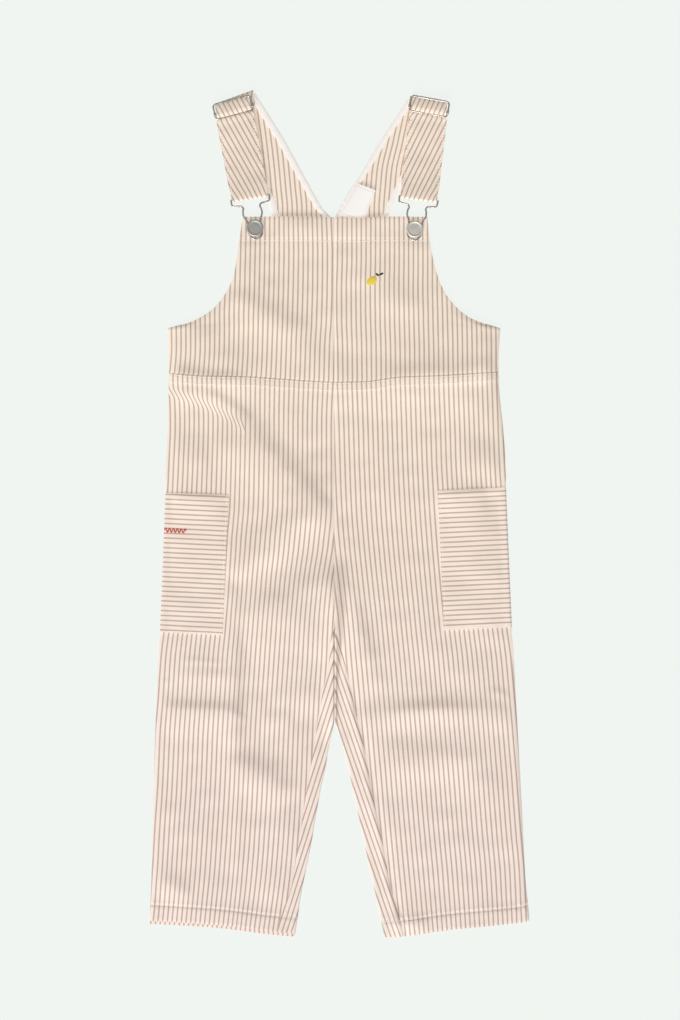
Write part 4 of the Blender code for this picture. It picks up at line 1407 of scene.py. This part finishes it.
def strap_rows(side):
    """Rows of the strap end, as (left end, right end, height).

    From the shoulder turn it runs down under the slider to the hook, pulled a little narrower,
    turns round the hook's bar and comes back up on top with a slight sag. In the slider it is
    pressed down by the lower wire, rises over the bar and tucks in under the upper wire.
    """
    lines = metal_lines(side)
    rows = []

    def add(centre, across, width, z):
        """One row, from its middle."""
        rows.append((*(centre - across * width / 2), *(centre + across * width / 2), z))

    def add_turn(name, width, radius, z, first, last, steps):
        """Rows round part of a circle, whose angle starts from straight down."""
        centre, across, along = lines[name]
        for angle in np.linspace(first, last, steps):
            offset = radius * math.sin(angle)
            add(centre + along * offset, across, width, z - radius * math.cos(angle))

    def add_between(part, width, z):
        """One row between the hook's bar and the slider, or as far past it as part says."""
        centre = lines["hook"][0] * (1 - part) + lines["slider"][0] * part
        across = lines["hook"][1] * (1 - part) + lines["slider"][1] * part
        add(centre, across / np.linalg.norm(across), width, z)

    def add_down(part, z):
        """Between the shoulder turn and the hook, swinging in under the part on top."""
        under = lines["slider"][0] * (1 - part) + lines["hook"][0] * part
        straight = lines["shoulder"][0] * (1 - part) + lines["hook"][0] * part
        swing = fade(part, 0.02, 0.26)
        centre = straight * (1 - swing) + under * swing
        across = lines["shoulder"][1] * (1 - swing) + lines["hook"][1] * swing
        width = STRAP_WIDTH - STRAP_PULL * swing * (1 - fade(part, 0.9, 1.0))
        add(centre, across / np.linalg.norm(across), width, z)

    add_turn("shoulder", STRAP_WIDTH, SHOULDER_TURN, TAPE_Z, 0.0, math.pi, 12)
    for part in np.linspace(0.04, 0.97, 40):
        add_down(part, FRONT_Z)
    hook_turn = STRAP_TOP_Z - HOOK_Z
    add_turn("hook", STRAP_IN_METAL, hook_turn, HOOK_Z, 0.0, -math.pi, 16)
    reach = np.linalg.norm(lines["slider"][0] - lines["hook"][0])
    for part in np.linspace(0.03, 0.81, 40):
        width = STRAP_WIDTH + (STRAP_IN_METAL - STRAP_WIDTH) * (1 - fade(part, 0.0, 0.15))
        sag = STRAP_SAG * fade(part, 0.0, 0.30) * (1 - 0.75 * fade(part, 0.40, 0.81))
        add_between(part, width, STRAP_TOP_Z - sag)
    for past in np.linspace(THROUGH_SLIDER[0].past, THROUGH_SLIDER[-1].past, 40):
        width = STRAP_WIDTH + (STRAP_IN_METAL - STRAP_WIDTH) * fade(past, -0.012, -0.007)
        z = SLIDER_Z + read_table(THROUGH_SLIDER, "height", past)
        add_between(1 + past / reach, width, z)
    return np.array(rows)


STRAP_SLANT = {"left": 18.4, "right": -19.5}

# The strap's rows that lie on top, clear of the hook's bar and of the slider.
STRAP_TOP_ROWS = slice(70, 128)


def strap_surface(side):
    """Points and grain of the strap end, as rows by 21 columns.

    Across the strap both edges are sewn flat and the middle swells. The stripes slant by a fixed
    angle to the strap's length.
    """
    rows = strap_rows(side)
    u, row = grid(np.linspace(0, 1, 21), np.arange(len(rows)))
    x0, y0, x1, y1, z = (column[row] for column in rows.T)
    centre = (rows[:, :2] + rows[:, 2:4]) / 2
    step = np.linalg.norm(np.diff(np.column_stack([centre, rows[:, 4]]), axis=0), axis=1)
    along = np.concatenate([[0.0], step.cumsum()])[row]
    from_edge = np.minimum(u, 1 - u) * STRAP_WIDTH
    swell = STRAP_SWELL * fade(from_edge, 0.001, 0.008)
    swell = swell + seam_groove(from_edge - STRAP_STITCH, STRAP_GROOVE, 0.0008)
    by_stitches = bell(from_edge - STRAP_STITCH, 0.003)
    ripple = STRAP_RIPPLE_HEIGHT * pucker(along, STRAP_RIPPLE) * by_stitches
    top = fade(along, 0.118, 0.124)
    small = rumple(x0 + (x1 - x0) * u, y0 + (y1 - y0) * u, STRAP_RUMPLE)
    raised = z + (swell + ripple + small) * top
    points = np.stack([x0 + (x1 - x0) * u, y0 + (y1 - y0) * u, raised], axis=-1)
    slant = math.radians(STRAP_SLANT[side.name])
    across = STRAP_WIDTH * u * math.cos(slant) + along * math.sin(slant)
    length = along * math.cos(slant) - STRAP_WIDTH * u * math.sin(slant)
    return points, np.stack([across, length], axis=-1)


def make_strap(side, trims):
    """The strap end, a shell over strap_surface."""
    points, grain = strap_surface(side)
    name = "strap_cloth_" + side.name
    nodes = ("strap_front_" + side.name,)
    return cloth(name, points, grain, STRAP_TWILL, nodes, wall=STRAP_WALL)


# Metal -----------------------------------------------------------------------------------------

WIRE_SIDES = 14
WIRE_GRAIN = 0.006
TURNED_SIDES = 56
CRIMP_REACH = 0.0028
CRIMP_SHARE = 1.6


def tube(name, path, radius, material, closed=False):
    """A round wire: a circle carried along the path, square to it.

    The circle's two directions are the path's level normal and the upright square to both. Open
    ends are rounded by shrinking the last rings.
    """
    path = np.asarray(path, float)
    if closed:
        ahead = np.roll(path, -1, axis=0) - np.roll(path, 1, axis=0)
    else:
        ahead = np.gradient(path, axis=0)
    ahead = ahead / np.linalg.norm(ahead, axis=1, keepdims=True)
    level = np.column_stack([-ahead[:, 1], ahead[:, 0], np.zeros(len(path))])
    level = level / np.maximum(np.linalg.norm(level, axis=1, keepdims=True), 1e-9)
    upright = np.cross(ahead, level)
    size = np.full(len(path), radius)
    if not closed:
        ends = np.array([0.0, 0.55, 0.85, 1.0])
        size[:4] = size[:4] * ends
        size[-4:] = size[-4:] * ends[::-1]
    angle = np.linspace(0, 2 * math.pi, WIRE_SIDES, endpoint=False)
    ring = np.cos(angle)[None, :, None] * level[:, None, :]
    ring = ring + np.sin(angle)[None, :, None] * upright[:, None, :]
    points = path[:, None, :] + ring * size[:, None, None]
    along = np.concatenate([[0.0], np.linalg.norm(np.diff(path, axis=0), axis=1).cumsum()])
    round_it = angle[None, :] / (2 * math.pi) * WIRE_GRAIN
    grain = np.stack([round_it + 0 * along[:, None], along[:, None] + 0 * round_it], axis=-1)
    piece = surface(name, points, material, grain, wrap_rows=closed, wrap_columns=True)
    return close_up(piece)


def smooth_loop(points, steps):
    """A closed Catmull-Rom curve through the points."""
    p1 = np.asarray(points, float)
    p0, p2, p3 = np.roll(p1, 1, 0), np.roll(p1, -1, 0), np.roll(p1, -2, 0)
    t = np.linspace(0, 1, steps, endpoint=False)[None, :, None]
    p0, p1, p2, p3 = (p[:, None, :] for p in (p0, p1, p2, p3))
    first = (2 * p1) + (p2 - p0) * t
    second = (2 * p0 - 5 * p1 + 4 * p2 - p3) * t**2
    third = (3 * p1 - p0 - 3 * p2 + p3) * t**3
    return (0.5 * (first + second + third)).reshape(-1, p1.shape[-1])


def in_place(flat, x, y, lean, z):
    """Level points turned by the lean and moved to (x, y) at height z."""
    across, along = leaning(lean)
    turned = flat[:, :1] * across + flat[:, 1:2] * along
    return np.column_stack([turned[:, 0] + x, turned[:, 1] + y, z + 0 * turned[:, 0]])


def make_hook(side):
    """A bent wire: a bar in the strap's loop, two shoulders, and a keyhole round the button."""
    metal = METAL[side.name]
    right = np.array(HOOK_HALF)
    left = right[-2:0:-1] * (-1, 1)
    flat = smooth_loop(np.concatenate([right, left]), 6)
    path = in_place(flat, metal.button_x, metal.button_y, metal.hook_lean, HOOK_Z)
    name = "hook_wire_" + side.name
    piece = tube(name, path, HOOK_WIRE, METAL_WIRE, closed=True)
    return solid_piece(piece, ("hook_" + side.name,))


def rounded_rectangle(width, height, radius, corner_steps, side_steps):
    """Points round a rectangle with round corners, centred on the origin."""
    turn = np.linspace(0, math.pi / 2, corner_steps)
    parts = []
    for quarter, (x, y) in enumerate(((1, 1), (-1, 1), (-1, -1), (1, -1))):
        centre = np.array([x * (width / 2 - radius), y * (height / 2 - radius)])
        angle = turn + quarter * math.pi / 2
        parts.append(centre + radius * np.column_stack([np.cos(angle), np.sin(angle)]))
    outline = []
    for part, following in zip(parts, parts[1:] + parts[:1]):
        share = np.linspace(0, 1, side_steps)[1:-1, None]
        outline += [part, part[-1] * (1 - share) + following[0] * share]
    return np.concatenate(outline)


def make_slider(side):
    """A wire frame with a bar across it below its middle, whose ends are crimped round the frame.

    The frame is a tube round a rounded rectangle, the bar is a straight tube, and each crimp is a
    short thicker one along the frame's side.
    """
    metal = METAL[side.name]
    spot = (metal.slider_x, metal.slider_y, metal.slider_lean, SLIDER_Z)
    outline = rounded_rectangle(SLIDER_WIDTH, SLIDER_HEIGHT, SLIDER_CORNER, 8, 8)
    name = "slider_wire_" + side.name
    outer = tube(name, in_place(outline, *spot), SLIDER_WIRE, METAL_WIRE, closed=True)
    half = SLIDER_WIDTH / 2
    bar = np.column_stack([np.linspace(-half, half, 24), np.full(24, SLIDER_BAR_UP)])
    parts = [outer, tube("bar", in_place(bar, *spot), SLIDER_WIRE, METAL_WIRE)]
    for end in (-half, half):
        up = np.linspace(-CRIMP_REACH, CRIMP_REACH, 12) + SLIDER_BAR_UP
        crimp = in_place(np.column_stack([np.full(12, end), up]), *spot)
        parts.append(tube("crimp", crimp, SLIDER_WIRE * CRIMP_SHARE, METAL_WIRE))
    return solid_piece(joined(parts), ("slider_" + side.name,))


def joined(parts):
    """Several pieces as one, under the first one's name."""
    first = parts[0]
    chosen = {"selected_objects": parts, "selected_editable_objects": parts}
    with bpy.context.temp_override(active_object=first, object=first, **chosen):
        bpy.ops.object.join()
    return first


def turned(name, outline, centre, material):
    """A turned piece: a profile of (radius, height) carried round an upright axis."""
    angle = np.linspace(0, 2 * math.pi, TURNED_SIDES, endpoint=False)
    profile = np.array(outline)
    x = centre[0] + profile[:, :1] * np.cos(angle)
    y = centre[1] + profile[:, :1] * np.sin(angle)
    z = profile[:, 1:2] + 0 * x
    grain = np.stack([profile[:, :1] + 0 * x, angle * 0.01 + 0 * x], axis=-1)
    piece = surface(name, np.stack([x, y, z], axis=-1), material, grain, wrap_columns=True)
    return close_up(piece)


# A button's cap from its middle over its rim to its underside: a share of the button's radius,
# then the height over the underside.
CapPoint = namedtuple("CapPoint", "share height")
BUTTON_CAP = (
    CapPoint(0.0, 0.00175),
    CapPoint(0.30, 0.00172),
    CapPoint(0.60, 0.00162),
    CapPoint(0.74, 0.00160),
    CapPoint(0.80, 0.00185),
    CapPoint(0.87, 0.00205),
    CapPoint(0.94, 0.00185),
    CapPoint(0.99, 0.0013),
    CapPoint(1.0, 0.0008),
    CapPoint(0.97, 0.0002),
    CapPoint(0.85, 0.0),
)


def make_button(side):
    """A turned tack button: a plain, slightly domed cap with a rolled rim, on a short shank."""
    metal = METAL[side.name]
    foot = FRONT_Z + CLOTH / 2
    under_cap = HOOK_Z + HOOK_WIRE + GAP
    outline = [(BUTTON_RADIUS * point.share, under_cap + point.height) for point in BUTTON_CAP]
    outline += [(BUTTON_SHANK, under_cap), (BUTTON_SHANK, foot), (0.0, foot)]
    name = "button_cap_" + side.name
    piece = turned(name, outline, (metal.button_x, metal.button_y), PEWTER[side.name])
    return solid_piece(piece, ("button_" + side.name,))


# Stitching -------------------------------------------------------------------------------------

# From one stitch to the next, the length of a stitch and the radius of its thread.
Stitch = namedtuple("Stitch", "pitch length radius")
SEAM_STITCH = Stitch(0.0031, 0.0024, 0.00030)
WAVE_STITCH = Stitch(0.0009, 0.0014, 0.00062)
STITCH_ENDS = 0.002
POCKET_DOWN_START = 0.004
POCKET_DOWN_LINE = 0.134
POCKET_FOOT_START = 0.1130
POCKET_FOOT_LINE = 0.058
LINE_POINTS = 240


def stitch_run(path, stitch):
    """Stitches spaced evenly along a path, as arrays of stitch by ring by side.

    Each is a little capsule: five rings of six points along its chord, arched by a parabola.
    """
    path = np.asarray(path, float)
    reach = np.concatenate([[0.0], np.linalg.norm(np.diff(path, axis=0), axis=1).cumsum()])
    count = max(1, int(reach[-1] / stitch.pitch))
    middle = (np.arange(count) + 0.5) * reach[-1] / count
    half = stitch.length / 2
    start = np.stack([np.interp(middle - half, reach, axis) for axis in path.T], axis=1)
    end = np.stack([np.interp(middle + half, reach, axis) for axis in path.T], axis=1)
    ahead = end - start
    ahead = ahead / np.maximum(np.linalg.norm(ahead, axis=1, keepdims=True), 1e-9)
    level = np.column_stack([-ahead[:, 1], ahead[:, 0], np.zeros(count)])
    upright = np.cross(ahead, level)
    share = np.array([-1.0, -0.82, 0.0, 0.82, 1.0])
    thick = np.array([0.35, 0.80, 1.0, 0.80, 0.35]) * stitch.radius
    arch = stitch.radius * 1.3 * (1 - share**2) - stitch.radius * 0.4
    angle = np.linspace(0, 2 * math.pi, 6, endpoint=False)
    centre = (start + end)[:, None, :] / 2 + share[None, :, None] * (end - start)[:, None, :] / 2
    centre = centre + arch[None, :, None] * np.array([0.0, 0.0, 1.0])
    ring = np.cos(angle)[None, None, :, None] * level[:, None, None, :]
    ring = ring + np.sin(angle)[None, None, :, None] * upright[:, None, None, :]
    return centre[:, :, None, :] + ring * thick[None, :, None, None]


def make_stitches(name, runs, stitch=SEAM_STITCH, material=CREAM_THREAD):
    """All the stitches of some runs as one piece, with both ends of each stitch closed."""
    points = np.concatenate([stitch_run(path, stitch) for path in runs])
    count, rings, sides = points.shape[:3]
    index = np.arange(rings * sides).reshape(rings, sides)
    following = np.roll(index, -1, axis=1)
    corners = (index[:-1], following[:-1], following[1:], index[1:])
    quads = np.stack(corners, axis=-1).reshape(-1, 4)
    start = np.arange(count)[:, None, None] * rings * sides
    faces = (quads[None] + start).reshape(-1, 4).tolist()
    caps = np.stack([index[0][::-1], index[-1]])
    faces += (caps[None] + start).reshape(-1, sides).tolist()
    mesh = bpy.data.meshes.new(name)
    mesh.from_pydata(points.reshape(-1, 3).tolist(), [], faces)
    points_at = np.empty(len(mesh.loops), np.int32)
    mesh.loops.foreach_get("vertex_index", points_at)
    along = np.repeat(np.linspace(0, SEAM_STITCH.length, rings), sides)
    place = np.column_stack([np.tile(np.arange(sides) * 0.0002, rings), along])
    layer = mesh.uv_layers.new(name="grain")
    layer.data.foreach_set("uv", place[points_at % (rings * sides)].astype(np.float32).ravel())
    piece = put_in_scene(name, mesh, material)
    close_up(piece, MERGE_IN_STITCH)
    return solid_piece(piece)


def line_on(side, height, out, y):
    """A path on top of a piece of cloth, half its wall above its height."""
    return world(side, out, y, height(side, out, y) + WALL / 2)


def bib_stitching(side):
    """The line of the bib's hem."""
    part = np.linspace(0, 1, LINE_POINTS)
    y = np.full(LINE_POINTS, BIB_TOP_Y - BIB_HEM)
    out = STITCH_ENDS + (outer_edge(side, y) - 2 * STITCH_ENDS) * part
    hem = line_on(side, bib_z, out, y + top_dip(side, out) * 0.5)
    return make_stitches("bib_stitching_" + side.name, [hem])


def leg_stitching(side):
    """Two lines below the waist seam, and the line of the leg's hem."""
    part = np.linspace(0, 1, LINE_POINTS)
    waist = read_table(SIDE_SEAM, side.name, np.full(LINE_POINTS, WAIST_Y))
    out = STITCH_ENDS + (waist - 2 * STITCH_ENDS) * part
    seam = waist_height(side, out)
    runs = [line_on(side, leg_z, out, seam - below) for below in WAIST_STITCHES]
    top = np.full(LINE_POINTS, HEM_Y + HEM_DEPTH)
    inner = read_table(INNER_FOLD, side.name, top) + STITCH_ENDS
    outer = read_table(SIDE_SEAM, side.name, top) - STITCH_ENDS
    out = inner + (outer - inner) * part
    hem = line_on(side, leg_z, out, read_table(HEM_FRONT, side.name, out) + HEM_DEPTH)
    return make_stitches("leg_stitching_" + side.name, [*runs, hem])


def pocket_stitching(side):
    """The lines down the pocket's inner edge and along its foot."""
    part = np.linspace(0, 1, LINE_POINTS)
    y = POCKET_FOOT_Y + POCKET_DOWN_START + POCKET_DOWN_LINE * part
    down = line_on(side, pocket_z, read_table(POCKET_EDGE, side.name, y) + POCKET_STITCH, y)
    out = POCKET_FOOT_START + POCKET_FOOT_LINE * part
    foot_y = read_table(POCKET_BOTTOM, side.name, out) + POCKET_STITCH
    foot = line_on(side, pocket_z, out, foot_y)
    return make_stitches("pocket_stitching_" + side.name, [down, foot])


def strap_stitching(side):
    """The lines along both edges of the strap, on the rows of it that lie on top."""
    top_rows = strap_surface(side)[0][STRAP_TOP_ROWS]
    runs = [top_rows[:, column] + (0.0, 0.0, STRAP_WALL / 2) for column in (1, -2)]
    return make_stitches("strap_stitching_" + side.name, runs)


# Embroidery ------------------------------------------------------------------------------------

# A fruit and its leaves: the middle of each, its length, width and lean, and how far its tip is
# drawn out.
Patch = namedtuple("Patch", "name x y length width lean tip thread")
FRUIT = (
    Patch("fruit_embroidery", 0.0322, 0.2324, 0.0118, 0.0084, 33, 0.10, YELLOW_THREAD),
    Patch("leaf_embroidery_a", 0.0378, 0.2387, 0.0044, 0.0022, -42, 0.2, LEAF_THREAD),
    Patch("leaf_embroidery_b", 0.0416, 0.2392, 0.0050, 0.0024, 22, 0.2, LEAF_THREAD),
)
SATIN_DOME = 0.0006
SATIN_RIB = 0.00006
SATIN_THREAD = 0.0007
SATIN_SUNK = 0.00015
WAVES = 5.5
WAVE_HEIGHT = 0.0022
WAVE_START = (-0.1745, -0.0165)
WAVE_RUN = (0.0215, -0.0010)


def make_patch(patch):
    """A small oval of satin stitch on the right of the bib: a low dome, ribbed by its threads.

    Columns go round the oval and rows out from its middle. The dome is a quarter round, the ribs
    are a sine wave across it, and the end at angle 0 is drawn out to a tip.
    """
    u, v = grid(np.linspace(0, 2 * math.pi, 64, endpoint=False), np.linspace(0, 1, 12))
    stretch = 1 + patch.tip * np.clip(np.cos(u), 0.0, 1.0) ** 6
    local_x = patch.length / 2 * v * np.cos(u) * stretch
    local_y = patch.width / 2 * v * np.sin(u) * (1 - patch.tip * 0.5 * np.cos(u) ** 4)
    across, along = leaning(patch.lean)
    x = patch.x + local_x * across[0] + local_y * along[0]
    y = patch.y + local_x * across[1] + local_y * along[1]
    ribs = SATIN_RIB * np.sin(2 * math.pi * (local_x + local_y * 0.3) / SATIN_THREAD)
    dome = SATIN_DOME * np.sqrt(np.clip(1 - v**2, 0.0, 1.0)) + ribs * (1 - v**6)
    base = bib_z(RIGHT, x - CENTRE_X, y) + WALL / 2 - SATIN_SUNK
    points = np.stack([x, y, base + dome], axis=-1)
    grain = np.stack([local_x, local_y], axis=-1)
    piece = surface(patch.name, points, patch.thread, grain, wrap_columns=True)
    return solid_piece(close_up(piece))


def make_wavy_line():
    """A stitched wavy line on the left pocket: a sine wave along a nearly level line."""
    part = np.linspace(0, 1, 260)
    x = WAVE_START[0] + WAVE_RUN[0] * part
    y = WAVE_START[1] + WAVE_RUN[1] * part + WAVE_HEIGHT * np.sin(2 * math.pi * part * WAVES)
    path = line_on(LEFT, pocket_z, CENTRE_X - x, y)
    return make_stitches("wavy_embroidery", [path], WAVE_STITCH, RED_THREAD)


# Floor, light and camera -----------------------------------------------------------------------

FLOOR_REACH = 3
FLOOR_Z = -0.0002
FLOOR_GLOW = 0.903
FLOOR_DARK = 0.90
KEY = 1.4
SOFT_KEY = 2.15
KEY_ALONG = (0.26, 0.80, -0.62)
KEY_ANGLE = 30.0
WARM = (1.0, 0.985, 0.965)
FILL = 0.345
VIEW_TALL = 1.02
VIEW_CENTRE = (0.00065, 0.0037)
LENS = 100.0
SENSOR = 36.0


def make_stage():
    """A wide pale floor, lit evenly: most of its brightness is its own, so it stays plain."""
    finish = Finish("pale floor", Roughness=0.9, Specular_IOR_Level=0.0)
    tone = finish.noise(finish.place(), 3.0)
    pale = finish.mix(tone, colour(240, 245, 241), colour(239, 244, 240))
    finish.show("Base Color", finish.mix(FLOOR_DARK, pale, (0.0, 0.0, 0.0, 1.0)))
    finish.show("Emission Color", pale)
    finish.shader.inputs["Emission Strength"].default_value = FLOOR_GLOW
    reach = np.linspace(-FLOOR_REACH, FLOOR_REACH, 3)
    x, y = grid(reach, reach)
    points = np.stack([x, y, 0 * x + FLOOR_Z], axis=-1)[::-1]
    surface("floor", points, finish.material)


def key_lamp(name, energy, shadow):
    """A wide sun lamp shining along the key's direction."""
    lamp = bpy.data.lights.new(name, "SUN")
    lamp.energy = energy
    lamp.angle = math.radians(KEY_ANGLE)
    lamp.color = WARM
    lamp.use_shadow = shadow
    made = bpy.data.objects.new(name, lamp)
    bpy.context.scene.collection.objects.link(made)
    x, y, z = KEY_ALONG
    made.rotation_euler = (math.atan2(math.hypot(x, y), -z), 0.0, math.atan2(-x, y))


def make_light():
    """One wide key from the foot of the garment, part of it shadowless, and a pale surround."""
    key_lamp("key", KEY, True)
    key_lamp("soft_key", SOFT_KEY, False)
    surround = bpy.data.worlds.new("surround")
    bpy.context.scene.world = surround
    surround.use_nodes = True
    background = surround.node_tree.nodes["Background"]
    background.inputs["Color"].default_value = (1.0, 1.0, 1.0, 1.0)
    background.inputs["Strength"].default_value = FILL


def make_camera():
    """Straight above the garment, far enough away to take in a frame VIEW_TALL metres tall."""
    lens = bpy.data.cameras.new("camera")
    lens.lens = LENS
    lens.sensor_width = SENSOR
    camera = bpy.data.objects.new("camera", lens)
    camera.location = (*VIEW_CENTRE, VIEW_TALL * LENS / SENSOR)
    bpy.context.scene.collection.objects.link(camera)
    bpy.context.scene.camera = camera


for side in SIDES:
    make_back(side, [make_tape(side, True), make_tape(side, False)])
    make_leg_back(side)
    make_leg_front(side, [leg_stitching(side)])
    make_strap(side, [strap_stitching(side)])
    make_slider(side)
    make_hook(side)
    make_button(side)
make_bib(LEFT, [bib_stitching(LEFT)])
make_bib(RIGHT, [bib_stitching(RIGHT), *(make_patch(patch) for patch in FRUIT)])
make_pocket(LEFT, [pocket_stitching(LEFT), make_wavy_line()])
make_pocket(RIGHT, [pocket_stitching(RIGHT)])
make_label()
make_stage()
make_light()
make_camera()
bpy.context.scene.view_settings.view_transform = "Standard"
